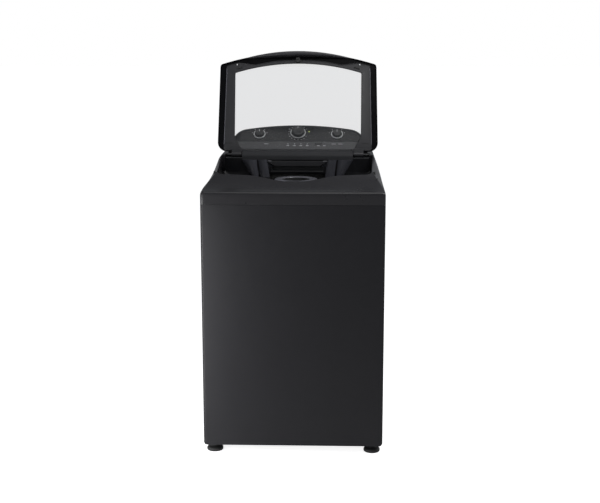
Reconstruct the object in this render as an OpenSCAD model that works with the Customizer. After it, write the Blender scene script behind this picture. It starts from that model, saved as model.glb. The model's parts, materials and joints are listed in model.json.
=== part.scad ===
// Top load washing machine: steel cabinet, glass lid, sloped console,
// hung tub, steel basket and agitator. Millimetres, +Z up, front towards -Y.
// The tub axis is the Z axis and the floor is z = 0. The lid is drawn open.

/* [Cabinet] */
// Overall width
body_w = 620; // [612:1:628]
// Overall depth
body_d = 650; // [646:1:656]
// Height of the cabinet's lower edge above the floor
skirt_z = 30; // [26:1:32]
// Height of the joint between the cabinet and the top cover
seam_z = 873; // [870:1:876]
// Thickness of the cabinet sheet
sheet_t = 2; // [1.5:0.1:2.4]
// Radius of the cabinet's upright edges
edge_r = 9; // [6:1:14]

/* [Top cover] */
// Height of the fold between the front and the apron
crease_z = 915; // [912:1:918]
// Height of the top cover at the lid's front corners
rim_z = 966; // [962:1:968]
// Height of the top cover behind the lid
rear_z = 991; // [990:1:992]
// Inward lean of the shoulders, millimetres for each millimetre of height
shoulder_lean = 0.367; // [0.34:0.005:0.38]
// Wall thickness of the moulded covers
wall = 3; // [2.6:0.1:3.4]
// Half width of the well at its front corners
well_front = 266; // [262:1:268]
// Half width of the well at its rear corners
well_rear = 278; // [274:1:280]
// How far the well's front edge bows forward
well_bow = 11; // [6:1:14]
// Depth of the finger scoop in the middle of that edge
scoop_bow = 33; // [20:1:36]

/* [Lid] */
// Distance of the hinge axis behind the tub axis
hinge_y = 170; // [169:1:171]
// Height of the hinge axis
hinge_z = 988; // [987:0.5:989]
// Lean of the open lid behind vertical, degrees
lid_lean = 16.75; // [14:0.25:18]
// Slope of the closed lid towards the front, degrees
lid_slope = 3.7; // [3.4:0.1:4]
// Half width of the lid near its hinge
lid_half = 299.5; // [297:0.5:301]
// Distance from the hinge axis to the middle of the lid's front edge
lid_reach = 391.5; // [388:0.5:393]
// Thickness of the lid's glass
glass_t = 4; // [3:0.5:4]

/* [Console] */
// Slope of the control face from level, degrees
face_slope = 43.3; // [42:0.1:44]
// Height of the console's top above the floor
console_z = 1085; // [1080:1:1088]
// Half width of the console at its foot
console_half = 262; // [256:1:266]
// Radius of the programme dial
dial_r = 29; // [26:1:31]
// Radius of the two option knobs
knob_r = 22.5; // [20:0.5:24]

/* [Tub and drive] */
// Outside radius of the outer tub
tub_r = 272; // [268:1:274]
// Outside radius of the basket
basket_r = 248; // [244:1:250]
// Radius of the agitator's column
column_r = 60; // [58:1:61]
// Radius of the agitator's skirt
skirt_r = 165; // [150:1:175]
// Height of the agitator's top above the floor
agitator_z = 915; // [908:1:918]
// Radius of the drive shaft
shaft_r = 14; // [12:0.5:15]
// Radius of a levelling foot
foot_r = 28.5; // [25:0.5:30]

/* [Hidden] */
$fn = 96;
run_gap = 0.05;
front_y = -body_d / 2;
rear_y = body_d / 2;
seam_gap = 2;
cover_z = seam_z + seam_gap / 2;
shell_top = seam_z - seam_gap / 2;
panel_y = rear_y - 26;
panel_t = 1.5;
rim_y = -171;
well_back = 150;
well_corner_y = -183;
scoop_half = 170;
apron_sag = 9;
trough_z = 978;
trough_half = 268;
collar_z = 925;
throat_z = 868;
throat_r = 232;
console_y = 205;
face_foot = 1000;
knob_v = 79.5;
dial_v = 87;
dial_x = -1;
left_x = -147;
right_x = 147;
KNOBS = [[dial_x, dial_v], [left_x, knob_v], [right_x, knob_v]];
button_x = 77;
row_v = 31;
panel_d = 2.5;
stem_r = 3;
lid_back = -14;
lid_low = 7.5;
lid_top = 22;
lid_corner = 33;
lid_bow = 47;
lid_front_half = lid_half - 5.5;
lip_half = 205;
lip_drop = 18;
finger_groove = 21.5;
shell_rim = 3;
frame_t = 5;
window_half = 237;
window_back = -26;
window_front = -349.3;
window_bow = 36;
knuckle_x = 207;
knuckle_w = 40;
knuckle_r = 9;
pin_r = 4;
strike_y = -355;
strike_bore_z = -38;
strike_tip_z = -46;
tub_floor = 236;
tub_top = 822;
tub_wall = 4;
lug_z = 326;
lug_t = 8;
rod_x = 252;
rod_y = 258;
rod_r = 4;
spring_z = 260;
brace_z = 846;
foot_x = 274;
foot_y = 285;
stud_r = 5;
base_h = 40;
pump_x = 150;
pump_y = 110;
pipe_x = pump_x + 24;
pipe_z = 121;
inlet_z = 842;
valve_top = inlet_z + 36;
duct_y = 253;
inlet_x = [-135, -80];
gland_x = -240;
gland_z = 150;

// ---------- helpers ----------

// Points of an arc, from angle a to angle b, with n steps
function arc(cx, cy, r, a, b, n = 8) =
    [for (i = [0:n]) [cx + r * cos(a + (b - a) * i / n), cy + r * sin(a + (b - a) * i / n)]];

// Radius of an arc from half its chord and its bow
function bow_r(half, bow) = (half * half + bow * bow) / (2 * bow);

// A forward-bowed edge at depth y in its middle, from +half to -half
function front_edge(half, y, r, n = 16) =
    let (a = asin(half / r)) arc(0, y + r, r, a - 90, -a - 90, n);

// Extrudes a (y, z) outline along X
module across(w) {
    rotate([90, 0, 90])
        linear_extrude(w, center = true)
            children();
}

// Extrudes an (x, z) outline along Y
module along(d) {
    rotate([90, 0, 0])
        linear_extrude(d, center = true)
            children();
}

// A box from its lowest corner to its highest corner
module block(low, high) {
    translate(low)
        cube(high - low);
}

// A tube with its foot at z
module tube(outer, inner, z, h) {
    translate([0, 0, z])
        difference() {
            cylinder(h, r = outer);
            translate([0, 0, -1])
                cylinder(h + 2, r = inner);
        }
}

// Both sides of the machine
module both_sides() {
    children();
    mirror([1, 0, 0])
        children();
}

// ---------- cabinet ----------

module footprint(inset) {
    half = body_w / 2 - inset;
    r = edge_r - inset;
    low = front_y + inset;
    polygon(concat([[half, rear_y], [-half, rear_y]],
        arc(-half + r, low + r, r, 180, 270, 6),
        arc(half - r, low + r, r, 270, 360, 6)));
}

// The wrap: front and two sides in one sheet, with rear return flanges
module cabinet_shell() {
    lower_r = 12;
    half = body_w / 2;
    flange = 22;
    color([0.17, 0.17, 0.19])
        intersection() {
            difference() {
                translate([0, 0, skirt_z])
                    linear_extrude(shell_top - skirt_z)
                        footprint(0);
                difference() {
                    translate([0, 0, skirt_z - 1])
                        linear_extrude(shell_top)
                            intersection() {
                                footprint(sheet_t);
                                square([body_w, body_d + 2], center = true);
                            }
                    both_sides()
                        block([half - sheet_t - flange, panel_y - sheet_t, skirt_z + 45],
                            [half, panel_y, shell_top - 12]);
                }
                block([-half + sheet_t, panel_y, skirt_z - 1], [half - sheet_t, rear_y + 1, shell_top + 1]);
                screw_places()
                    cylinder(20, r = 2, center = true);
            }
            along(body_d + 2)
                polygon(concat([[half, shell_top], [-half, shell_top]],
                    arc(-half + lower_r, skirt_z + lower_r, lower_r, 180, 270, 6),
                    arc(half - lower_r, skirt_z + lower_r, lower_r, 270, 360, 6)));
        }
}

// The pressed rear panel, with ribs, air slots and holes for the fittings
module rear_panel() {
    half = body_w / 2 - sheet_t - 0.2;
    low = skirt_z + 2;
    top = shell_top - 2;
    slots = 9;
    color([0.30, 0.31, 0.33])
        difference() {
            union() {
                block([-half, panel_y, low], [half, panel_y + panel_t, top]);
                for (z = [300, 420, 540, 660])
                    block([-200, panel_y + panel_t, z], [200, panel_y + panel_t + 4, z + 14]);
            }
            for (i = [0:slots - 1])
                block([-130, panel_y - 1, 190 + i * 9], [60, panel_y + panel_t + 1, 194 + i * 9]);
            for (x = inlet_x)
                translate([x, panel_y, inlet_z])
                    rotate([90, 0, 0])
                        cylinder(20, r = 15, center = true);
            translate([pipe_x, panel_y, pipe_z])
                rotate([90, 0, 0])
                    cylinder(20, r = 12, center = true);
            translate([gland_x, panel_y, gland_z])
                rotate([90, 0, 0])
                    cylinder(20, r = 9, center = true);
            screw_places()
                cylinder(20, r = 2, center = true);
        }
}

// Screw centres on the rear panel, axis along Y
module screw_places() {
    for (x = [-1, 1], z = [110, 290, 470, 650, 830])
        translate([x * (body_w / 2 - sheet_t - 12), panel_y, z])
            rotate([90, 0, 0])
                children();
}

module cabinet_screws() {
    head_r = 5;
    head_h = 3;
    color([0.62, 0.63, 0.65])
        screw_places()
            mirror([0, 0, 1])
                difference() {
                    union() {
                        translate([0, 0, -12])
                            cylinder(12 + panel_t, r = 1.95);
                        translate([0, 0, panel_t])
                            cylinder(head_h, r = head_r);
                    }
                    for (a = [0, 90])
                        rotate([0, 0, a])
                            translate([0, 0, panel_t + head_h])
                                cube([6, 1.2, 2.4], center = true);
                }
}

// The base: a box ring with a corner plate and boss for each foot, and the pump shelf
module base_frame() {
    half = body_w / 2 - sheet_t - 0.3;
    front = -front_y - sheet_t - 0.3;
    back = panel_y - 0.3;
    low = skirt_z + 2;
    rail = 34;
    plate_t = 5;
    color([0.10, 0.10, 0.11])
        difference() {
            union() {
                difference() {
                    block([-half, -front, low], [half, back, low + base_h]);
                    block([-half + 3, -front + 3, low + plate_t], [half - 3, back - 3, low + base_h + 1]);
                    block([-half + rail, -front + rail, low - 1], [half - rail, back - rail, low + base_h]);
                }
                for (sx = [-1, 1], sy = [-1, 1])
                    translate([sx * foot_x, sy * foot_y - (sy > 0 ? 8 : 0), low])
                        translate([-sx * 20, 0, plate_t / 2])
                            cube([76, 76, plate_t], center = true);
                foot_places()
                    translate([0, 0, low])
                        cylinder(26, r = 13);
                block([100, pump_y - 55, low + 22], [half - 1, pump_y + 55, low + 26]);
            }
            foot_places()
                translate([0, 0, low - 1])
                    cylinder(60, r = stud_r);
            translate([0, 0, -5])
                linear_extrude(100)
                    difference() {
                        square([body_w + 20, body_d + 20], center = true);
                        translate([0, (back - front) / 2])
                            square([2 * half, front + back], center = true);
                    }
            for (sx = [-1, 1])
                translate([sx * half, -front, 0])
                    rotate([0, 0, 45])
                        cube([9, 9, 200], center = true);
        }
}

module foot_places() {
    for (sx = [-1, 1], sy = [-1, 1])
        translate([sx * foot_x, sy > 0 ? foot_y - 16 : -foot_y, 0])
            children();
}

module foot_pads() {
    color([0.03, 0.03, 0.03])
        foot_places()
            rotate_extrude()
                polygon([[0, 0], [foot_r - 2, 0], [foot_r, 2.5], [foot_r, 9], [foot_r - 3, 12.5],
                    [15, 15], [12, 20], [stud_r, 20], [stud_r, 6], [0, 6]]);
}

module foot_studs() {
    color([0.66, 0.67, 0.68])
        foot_places()
            translate([0, 0, 6])
                cylinder(62, r = stud_r);
}

module foot_lock_nuts() {
    nut_r = 9.8;
    color([0.66, 0.67, 0.68])
        foot_places()
            difference() {
                translate([0, 0, 22.5])
                    cylinder(skirt_z + 2 - 22.6, r = nut_r, $fn = 6);
                cylinder(60, r = stud_r);
            }
}

// Triangular plates in the top corners, which carry the suspension rods
module corner_braces() {
    leg = 150;
    t = 3;
    half = body_w / 2 - sheet_t - 0.2;
    color([0.55, 0.56, 0.58])
        both_sides()
            for (y = [-1, 1])
                difference() {
                    edge = y > 0 ? panel_y - sheet_t - 0.2 : -front_y - sheet_t - 0.2;
                    translate([0, 0, brace_z])
                        linear_extrude(t)
                            polygon([[half, y * edge - y * 10], [half - 10, y * edge],
                                [half - leg, y * edge], [half, y * (edge - leg)]]);
                    translate([rod_x, y * rod_y, brace_z - 1])
                        cylinder(t + 2, r = 7);
                }
}

// ---------- top cover ----------

// Side outline of the top cover, t inside the outer skin
function cover_side(t) =
    let (run = rim_y - front_y, rise = rim_z - crease_z, chord = norm([run, rise]),
        r = bow_r(chord / 2, apron_sag), tilt = atan2(rise, run), half_a = asin(chord / 2 / r),
        mid = [(front_y + rim_y) / 2, (crease_z + rim_z) / 2],
        c = mid + (r - apron_sag) * [-sin(tilt), cos(tilt)])
    concat([[rear_y - t, cover_z - 12 * sign(t)], [front_y + t, cover_z - 12 * sign(t)],
        [front_y + t, crease_z - 5 - t / 2], [front_y + 2 + t, crease_z - 1.2 - t]],
        [for (p = arc(c[0], c[1], r, tilt - 90 - half_a + 2, tilt - 90 + half_a, 10)) [p[0] + t / 2,
        p[1] - t]],
        [[well_back, rear_z - t], [rear_y - t, rear_z - t]]);

// Front outline of the top cover, t inside the outer skin
function cover_front(t) =
    let (half = body_w / 2 - t, top = half - shoulder_lean * (rear_z - crease_z),
        low = cover_z - 12 * sign(t))
    [[-half, low], [half, low], [half, crease_z - t / 2], [top, rear_z - t], [-top, rear_z - t],
        [-half, crease_z - t / 2]];

module cover_form(t) {
    intersection() {
        across(body_w)
            polygon(cover_side(t));
        along(body_d)
            polygon(cover_front(t));
    }
}

// Depth of the well's front edge at x: a shallow bow with a finger scoop in the middle
function well_edge(x) =
    well_corner_y - well_bow * (1 - abs(x) / well_front)
        - (abs(x) < scoop_half ? scoop_bow * (1 + cos(180 * x / scoop_half)) / 2 : 0);

// Plan of the well; t widens it
module well_plan(t) {
    c = 16;
    step = 21;
    polygon(concat(
        [for (i = [12:-1:-12]) [i * (step + t / 12), well_edge(i * step) - t]],
        [[-well_front - t, well_corner_y + 14], [-well_rear - t, well_back - c],
        [-well_rear + c - t, well_back + t],
            [well_rear - c + t, well_back + t], [well_rear + t, well_back - c],
            [well_front + t, well_corner_y + 14]]));
}

// The moulded top cover, with the well, its collar and the hinge trough
module top_cover() {
    half = body_w / 2;
    color([0.20, 0.20, 0.23])
        difference() {
            union() {
                difference() {
                    cover_form(0);
                    cover_form(wall);
                }
                intersection() {
                    cover_form(0);
                    translate([0, 0, collar_z])
                        linear_extrude(80)
                            well_plan(wall);
                }
                intersection() {
                    cover_form(0);
                    block([-trough_half - wall, well_back, trough_z - wall],
                        [trough_half + wall, console_y + wall, rear_z]);
                }
                difference() {
                    translate([0, 0, seam_z - 14])
                        linear_extrude(18)
                            footprint(sheet_t + 0.3);
                    translate([0, 0, seam_z - 16])
                        linear_extrude(30)
                            offset_footprint(sheet_t + 3.3);
                    block([-half, panel_y - 4, seam_z - 20], [half, rear_y + 1, seam_z + 30]);
                }
            }
            translate([0, 0, collar_z - 1])
                linear_extrude(120)
                    well_plan(0);
            trough_cut(trough_half);
            // Way through for the dispenser drawer and its spout
            block([-121, well_back - 1, 944], [121, well_back + wall + 1, 970]);
            block([-97, well_back - 1, collar_z - 1], [97, well_back + wall + 1, 946]);
            // Way through for the console's wiring
            block([-60, 250, rear_z - 10], [60, 290, rear_z + 1]);
            bumper_pegs(rim_z - 20, rim_z + 30);
        }
    color([0.20, 0.20, 0.23])
        both_sides()
            hinge_boss();
}

module offset_footprint(inset) {
    half = body_w / 2 - inset;
    low = front_y + inset;
    c = 8;
    polygon([[half, rear_y], [-half, rear_y], [-half, low + c], [-half + c, low], [half - c, low],
        [half, low + c]]);
}

module trough_cut(half) {
    block([-half, well_back - 20, trough_z], [half, console_y - 1, rear_z + 40]);
}

// Post at each end of the trough, which holds the outer end of a hinge pin
module hinge_boss() {
    difference() {
        block([trough_half - 16, hinge_y - 9, trough_z - 1], [trough_half + 0.5, hinge_y + 9, hinge_z + 8]);
        translate([trough_half - 17, hinge_y, hinge_z])
            rotate([0, 90, 0])
                cylinder(15, r = pin_r);
    }
}

// Funnel between the well and the tub, so that water runs back into the tub
module throat_liner() {
    color([0.09, 0.10, 0.11])
        difference() {
            throat_form(wall, 0);
            throat_form(0, 1);
        }
}

module throat_form(t, past) {
    hull() {
        translate([0, 0, collar_z - 0.5 - 0.01 + past])
            linear_extrude(0.01)
                well_plan(t);
        translate([0, 0, throat_z - past])
            linear_extrude(0.01)
                circle(throat_r + t, $fn = 48);
    }
}

// Strip between the two hinges, which holds the inner ends of the pins
module hinge_cover() {
    color([0.19, 0.20, 0.21])
        difference() {
            across(2 * (knuckle_x - 1))
                translate([hinge_y, trough_z])
                    polygon([[-9, 0], [9, 0], [9, 12], [5, 18], [-5, 18], [-9, 14]]);
            both_sides()
                translate([knuckle_x - 10, hinge_y, hinge_z])
                    rotate([0, 90, 0])
                        cylinder(20, r = pin_r);
        }
}

module hinge_pins() {
    color([0.66, 0.67, 0.68])
        both_sides()
            translate([knuckle_x - 10, hinge_y, hinge_z])
                rotate([0, 90, 0])
                    cylinder(trough_half - 2 - knuckle_x + 10, r = pin_r);
}

// Place of the strike's bore when the lid is shut
lock_y = hinge_y + strike_y * cos(lid_slope) - strike_bore_z * sin(lid_slope);
lock_z = hinge_z + strike_y * sin(lid_slope) + strike_bore_z * cos(lid_slope);
bolt_r = 3.5;
lock_face = lock_y - 8;

module lid_lock() {
    color([0.06, 0.06, 0.07])
        difference() {
            intersection() {
                block([-28, well_edge(0) - 1, lock_z - 14], [28, lock_face, lock_z + 9]);
                translate([0, 0, lock_z - 20])
                    linear_extrude(40)
                        well_plan(0);
            }
            translate([0, lock_face + 1, lock_z])
                rotate([90, 0, 0])
                    cylinder(20, r = bolt_r + 0.3);
        }
}

module lock_bolt() {
    color([0.66, 0.67, 0.68])
        translate([0, lock_face - 0.5, lock_z])
            rotate([90, 0, 0])
                cylinder(14, r = bolt_r);
}

module lid_bumpers() {
    color([0.05, 0.05, 0.05])
        bumper_pegs(rim_z - 12, rim_z + 7.5);
}

module bumper_pegs(low, high) {
    both_sides()
        translate([276, -160, low])
            cylinder(high - low, r = 4, $fn = 32);
}

// ---------- dispenser ----------

tray_front = well_back - 4;
tray_top = 966;
tray_low = 947;
tray_top_half = 117;
tray_low_half = 83;

// Trapezoid section of the drawer, t inside its skin
function tray_section(t) =
    [[-tray_low_half + t, tray_low + t], [tray_low_half - t, tray_low + t],
        [tray_top_half - t * 1.6, tray_top], [-tray_top_half + t * 1.6, tray_top]];

module dispenser_housing() {
    color([0.08, 0.09, 0.10])
        difference() {
            block([-125, well_back + wall, collar_z], [125, 262, trough_z - wall - 0.5]);
            block([-120, well_back, tray_low - 2.5], [120, 258, tray_top + 2]);
            block([-94, well_back, collar_z - 1], [94, well_back + 16, tray_low]);
            translate([-105, 253, collar_z - 1])
                cylinder(30, r = 5);
        }
}

module dispenser_drawer() {
    depth = 90;
    color([0.22, 0.23, 0.25])
        difference() {
            translate([0, tray_front + depth / 2, 0])
                along(depth)
                    polygon(tray_section(0));
            difference() {
                translate([0, tray_front + depth / 2 + 4, 0])
                    along(depth - 12)
                        polygon(concat([tray_section(2)[0], tray_section(2)[1]],
                            [[tray_top_half - 3.2, tray_top + 1], [-tray_top_half + 3.2, tray_top + 1]]));
                block([-1.2, tray_front, tray_low], [1.2, tray_front + depth, tray_top - 3]);
            }
        }
}

// ---------- console ----------

function console_side(t) =
    let (foot = [console_y + t, rear_z - 3 * sign(t)])
    [foot, [console_y + t, face_foot], [console_y + 82 + t * 0.5, face_foot + 82 * tan(face_slope) - t],
        [console_y + 90, console_z - 1.5 - t], [console_y + 97, console_z - t],
        [rear_y - 12 - t, console_z - t],
        [rear_y - 3 - t, console_z - 6 - t], [rear_y - t, console_z - 18 - t],
        [rear_y - t, rear_z - 3 * sign(t)]];

function console_front(t) =
    let (r = bow_r(185, 13), a = asin(205 / r))
    concat([[console_half - t, rear_z - 3 * sign(t)]],
        [[console_half - 12 - t, 1040], [console_half - 20 - t, 1056]],
        arc(0, console_z - r, r - t, 90 - a, 90 + a, 14),
        [[-console_half + 20 + t, 1056], [-console_half + 12 + t, 1040],
        [-console_half + t, rear_z - 3 * sign(t)]]);

module console_form(t) {
    intersection() {
        across(2 * console_half)
            polygon(console_side(t));
        along(body_d)
            polygon(console_front(t));
    }
}

// Places children in the control face: x along it, y up the slope, z out of it
module on_face(x, v) {
    translate([0, console_y, face_foot])
        rotate([face_slope, 0, 0])
            translate([x, v, 0])
                children();
}

module face_slab(low, high) {
    on_face(0, 60)
        translate([0, 0, (low + high) / 2])
            cube([2 * console_half + 10, 104, high - low], center = true);
}

module console_housing() {
    color([0.14, 0.14, 0.16])
        difference() {
            console_form(0);
            console_form(2.4);
            intersection() {
                face_slab(-panel_d, 5);
                console_form(-0.5);
                console_window();
            }
            intersection() {
                face_slab(-8, 0);
                console_window(6);
            }
        }
}

// The recess that the panel fills, as a prism through the face
module console_window(inset = 0) {
    on_face(0, 0)
        translate([0, 0, -30])
            linear_extrude(60)
                intersection() {
                    translate([0, 57])
                        square([2 * (console_half - 16 - inset), 100 - 2 * inset], center = true);
                    translate([0, 107 - inset - 1323])
                        circle(1323, $fn = 256);
                }
}

module console_panel() {
    color([0.10, 0.10, 0.11])
        difference() {
            intersection() {
                face_slab(-panel_d, -0.2);
                console_window(0.2);
            }
            for (at = KNOBS)
                on_face(at[0], at[1])
                    cylinder(20, r = stem_r + 1.5, center = true);
            on_face(button_x, row_v)
                cube([28.6, 12.6, 20], center = true);
            lens_places()
                cylinder(20, r = 2, center = true);
        }
}

module lens_places() {
    for (x = [-38, -13, 11, 35])
        on_face(x, row_v)
            children();
    on_face(41, dial_v + 5)
        children();
}

module indicator_lenses() {
    color([0.80, 0.85, 0.45])
        lens_places()
            translate([0, 0, -7])
                cylinder(7, r = 1.95);
}

module control_board() {
    color([0.05, 0.22, 0.12])
        on_face(0, 60)
            translate([0, 0, -18])
                cube([400, 76, 1.6], center = true);
}

module knob_encoders() {
    color([0.35, 0.36, 0.38])
        for (at = KNOBS)
            on_face(at[0], at[1])
                difference() {
                    translate([0, 0, -12.2])
                        cube([16, 16, 10], center = true);
                    translate([0, 0, -14])
                        cylinder(20, r = stem_r + run_gap);
                }
}

// A turned knob with its stem; the ring round its foot is a separate piece
module knob_cap(at, r, h) {
    color([0.09, 0.09, 0.10])
        on_face(at[0], at[1])
            difference() {
                rotate_extrude()
                    polygon([[0, -12], [stem_r, -12], [stem_r, 0.6], [r - 3, 0.6], [r - 3, 4.6],
                        [r - 4.5, 5.2],
                        [r - 6, h - 1.5], [r - 8, h], [0, h]]);
                translate([0, r - 9, h])
                    cube([1.6, 9, 1.2], center = true);
            }
}

module knob_ring(at, r) {
    color([0.68, 0.69, 0.71])
        on_face(at[0], at[1])
            rotate_extrude()
                polygon([[r - 3, 0.6], [r, 0.6], [r, 2.6], [r - 1, 4.6], [r - 3, 4.6]]);
}

module programme_dial_cap() {
    knob_cap(KNOBS[0], dial_r, 18);
}

module programme_dial_ring() {
    knob_ring(KNOBS[0], dial_r);
}

module left_knob_cap() {
    knob_cap(KNOBS[1], knob_r, 15);
}

module left_knob_ring() {
    knob_ring(KNOBS[1], knob_r);
}

module right_knob_cap() {
    knob_cap(KNOBS[2], knob_r, 15);
}

module right_knob_ring() {
    knob_ring(KNOBS[2], knob_r);
}

module start_button() {
    color([0.16, 0.16, 0.18])
        on_face(button_x, row_v)
            union() {
                translate([0, 0, -1.5])
                    cube([28, 12, 6], center = true);
                translate([0, 0, -9])
                    cylinder(5, r = 3);
            }
}

// ---------- water and power ----------

// Two screwed inlets in front of their coils, which stand clear above the tub
module inlet_valve() {
    spigot_r = 13.2;
    body_y = 279;
    color([0.85, 0.86, 0.84])
        difference() {
            union() {
                block([-152, body_y - 3, inlet_z - 15], [-62, panel_y - 12, valve_top]);
                block([-152, duct_y - 8, inlet_z + 16], [-62, body_y, valve_top]);
                for (x = inlet_x)
                    translate([x, panel_y - 13, inlet_z])
                        rotate([-90, 0, 0]) {
                            cylinder(37, r = spigot_r);
                            cylinder(12.5, r = 17);
                        }
            }
            for (x = inlet_x)
                translate([x, body_y, inlet_z])
                    rotate([-90, 0, 0])
                        cylinder(80, r = 9);
        }
}

module fill_duct() {
    color([0.85, 0.86, 0.84])
        translate([-105, duct_y, valve_top])
            difference() {
                cylinder(collar_z - valve_top, r = 7);
                translate([0, 0, -1])
                    cylinder(100, r = 5);
            }
}

module drain_pipe() {
    color([0.12, 0.12, 0.13])
        translate([pipe_x, pump_y, pipe_z])
            rotate([-90, 0, 0])
                difference() {
                    cylinder(panel_y - pump_y, r = 12);
                    translate([0, 0, -1])
                        cylinder(panel_y, r = 9);
                    translate([pump_x - pipe_x, 0, 0])
                        rotate([90, 0, 0])
                            cylinder(120, r = 38.05, center = true);
                }
}

module drain_outlet() {
    color([0.30, 0.31, 0.33])
        translate([pipe_x, panel_y, pipe_z])
            rotate([-90, 0, 0])
                difference() {
                    union() {
                        translate([0, 0, panel_t])
                            cylinder(3, r = 20);
                        cylinder(24.5, r = 11);
                    }
                    translate([0, 0, -1])
                        cylinder(40, r = 8);
                }
}

module cord_gland() {
    color([0.04, 0.04, 0.04])
        translate([gland_x, panel_y, gland_z])
            rotate([-90, 0, 0])
                difference() {
                    union() {
                        translate([0, 0, panel_t])
                            cylinder(6, r = 13);
                        translate([0, 0, -6])
                            cylinder(13, r = 9);
                        translate([0, 0, panel_t + 6])
                            cylinder(14, r1 = 9, r2 = 6.5);
                    }
                    translate([0, 0, -10])
                        cylinder(60, r = 4.5);
                }
}

module pump_housing() {
    color([0.86, 0.86, 0.83])
        difference() {
            translate([pump_x, pump_y, 0])
                union() {
                    translate([0, 0, 104])
                        cylinder(34, r = 38);
                    translate([0, 0, 138])
                        cylinder(13, r = 18);
                }
            translate([pump_x, pump_y, 0]) {
                translate([0, 0, 108])
                    cylinder(26, r = 33);
                translate([0, 0, 130])
                    cylinder(30, r = 15);
                translate([0, 0, 100])
                    cylinder(20, r = 3 + run_gap);
            }
            translate([pipe_x, pump_y, pipe_z])
                rotate([-90, 0, 0])
                    cylinder(60, r = 9);
        }
}

module pump_motor() {
    color([0.25, 0.26, 0.28])
        translate([pump_x, pump_y, 58])
            difference() {
                union() {
                    cylinder(46, r = 26);
                    translate([0, 0, 8])
                        cylinder(26, r = 32);
                }
                translate([0, 0, 20])
                    cylinder(40, r = 3 + run_gap);
            }
}

module pump_impeller() {
    color([0.75, 0.76, 0.75])
        translate([pump_x, pump_y, 0]) {
            translate([0, 0, 84])
                cylinder(30, r = 3);
            translate([0, 0, 112])
                cylinder(3, r = 30);
            for (a = [0:60:300])
                rotate([0, 0, a])
                    translate([4, -1.2, 114])
                        cube([22, 2.4, 13]);
            translate([0, 0, 112])
                cylinder(16, r = 7);
        }
}

module sump_bellows() {
    top = tub_floor;
    low = 151;
    folds = 6;
    pitch = (top - low - 20) / folds;
    color([0.06, 0.06, 0.06])
        translate([pump_x, pump_y, 0])
            rotate_extrude()
                polygon(concat([[15, low], [19, low]],
                    [for (i = [0:folds - 1], s = [0, 0.5])
                        [s == 0 ? 19 : 24, low + 10 + (i + s) * pitch]],
                    [[19, top - 10], [19, top], [15, top], [15, top - 10]],
                    [for (i = [folds - 1:-1:0], s = [0.5, 0])
                        [s == 0 ? 15 : 20, low + 10 + (i + s) * pitch]]));
}

// ---------- tub and suspension ----------

module rod_places() {
    for (sx = [-1, 1], sy = [-1, 1])
        translate([sx * rod_x, sy * rod_y, 0])
            children();
}

module suspension_rods() {
    color([0.60, 0.61, 0.62])
        rod_places() {
            translate([0, 0, spring_z - 6])
                cylinder(brace_z + 6 - spring_z + 6, r = rod_r);
            translate([0, 0, spring_z - 6])
                cylinder(6, r = 19);
            translate([0, 0, brace_z + 10.4])
                sphere(r = 10, $fn = 48);
        }
}

module suspension_springs() {
    color([0.45, 0.46, 0.48])
        rod_places()
            tube(17, 12, spring_z, lug_z - spring_z);
}

module outer_tub() {
    color([0.80, 0.81, 0.80])
        difference() {
            union() {
                rotate_extrude($fn = 128)
                    polygon([[36, tub_floor], [tub_r - 10, tub_floor], [tub_r, tub_floor + 10],
                        [tub_r, tub_top],
                        [tub_r - tub_wall, tub_top], [tub_r - tub_wall, tub_floor + 12],
                        [tub_r - 12, tub_floor + 6], [36, tub_floor + 6]]);
                for (sx = [-1, 1], sy = [-1, 1])
                    rotate([0, 0, atan2(sy * rod_y, sx * rod_x)]) {
                        block([tub_r - 3, -24, lug_z], [norm([rod_x, rod_y]) + 20, 24, lug_z + lug_t]);
                        block([tub_r - 3, 18, lug_z], [norm([rod_x, rod_y]), 24, lug_z + 70]);
                        block([tub_r - 3, -24, lug_z], [norm([rod_x, rod_y]), -18, lug_z + 70]);
                    }
            }
            rod_places()
                translate([0, 0, lug_z - 1])
                    cylinder(lug_t + 2, r = rod_r + 2);
            translate([pump_x, pump_y, tub_floor - 1])
                cylinder(20, r = 15);
        }
}

module tub_cover() {
    inner = 216;
    color([0.72, 0.73, 0.73])
        rotate_extrude($fn = 128)
            polygon([[inner, tub_top], [tub_r + 4, tub_top], [tub_r + 4, tub_top + 12],
                [tub_r - 4, tub_top + 18],
                [inner + 6, tub_top + 18], [inner, tub_top + 12]]);
}

module bearing_housing() {
    color([0.70, 0.71, 0.72])
        difference() {
            union() {
                translate([0, 0, 228])
                    cylinder(8, r = 130);
                translate([0, 0, 175])
                    cylinder(60, r = 60);
                for (a = [0:45:315])
                    rotate([0, 0, a])
                        block([50, -4, 200], [125, 4, 229]);
            }
            translate([0, 0, 170])
                cylinder(80, r = 36);
            for (a = [22.5:45:360])
                rotate([0, 0, a])
                    translate([110, 0, 220])
                        cylinder(30, r = 4);
        }
}

module tub_bearings() {
    color([0.62, 0.63, 0.65])
        for (z = [178, 214])
            tube(36, shaft_r + 8 + run_gap, z, 13);
}

module tub_seal() {
    color([0.10, 0.10, 0.10])
        tube(36, shaft_r + 8 + run_gap, 229, 12);
}

module stator() {
    teeth = 24;
    color([0.55, 0.35, 0.18])
        difference() {
            union() {
                tube(90, 60, 155, 25);
                tube(76, 60, 179, 21);
                for (i = [0:teeth - 1])
                    rotate([0, 0, i * 360 / teeth]) {
                        block([88, -5, 158], [117, 5, 177]);
                        block([116, -7.5, 156], [121, 7.5, 179]);
                    }
            }
            translate([0, 0, 150])
                cylinder(60, r = 60);
        }
}

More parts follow.
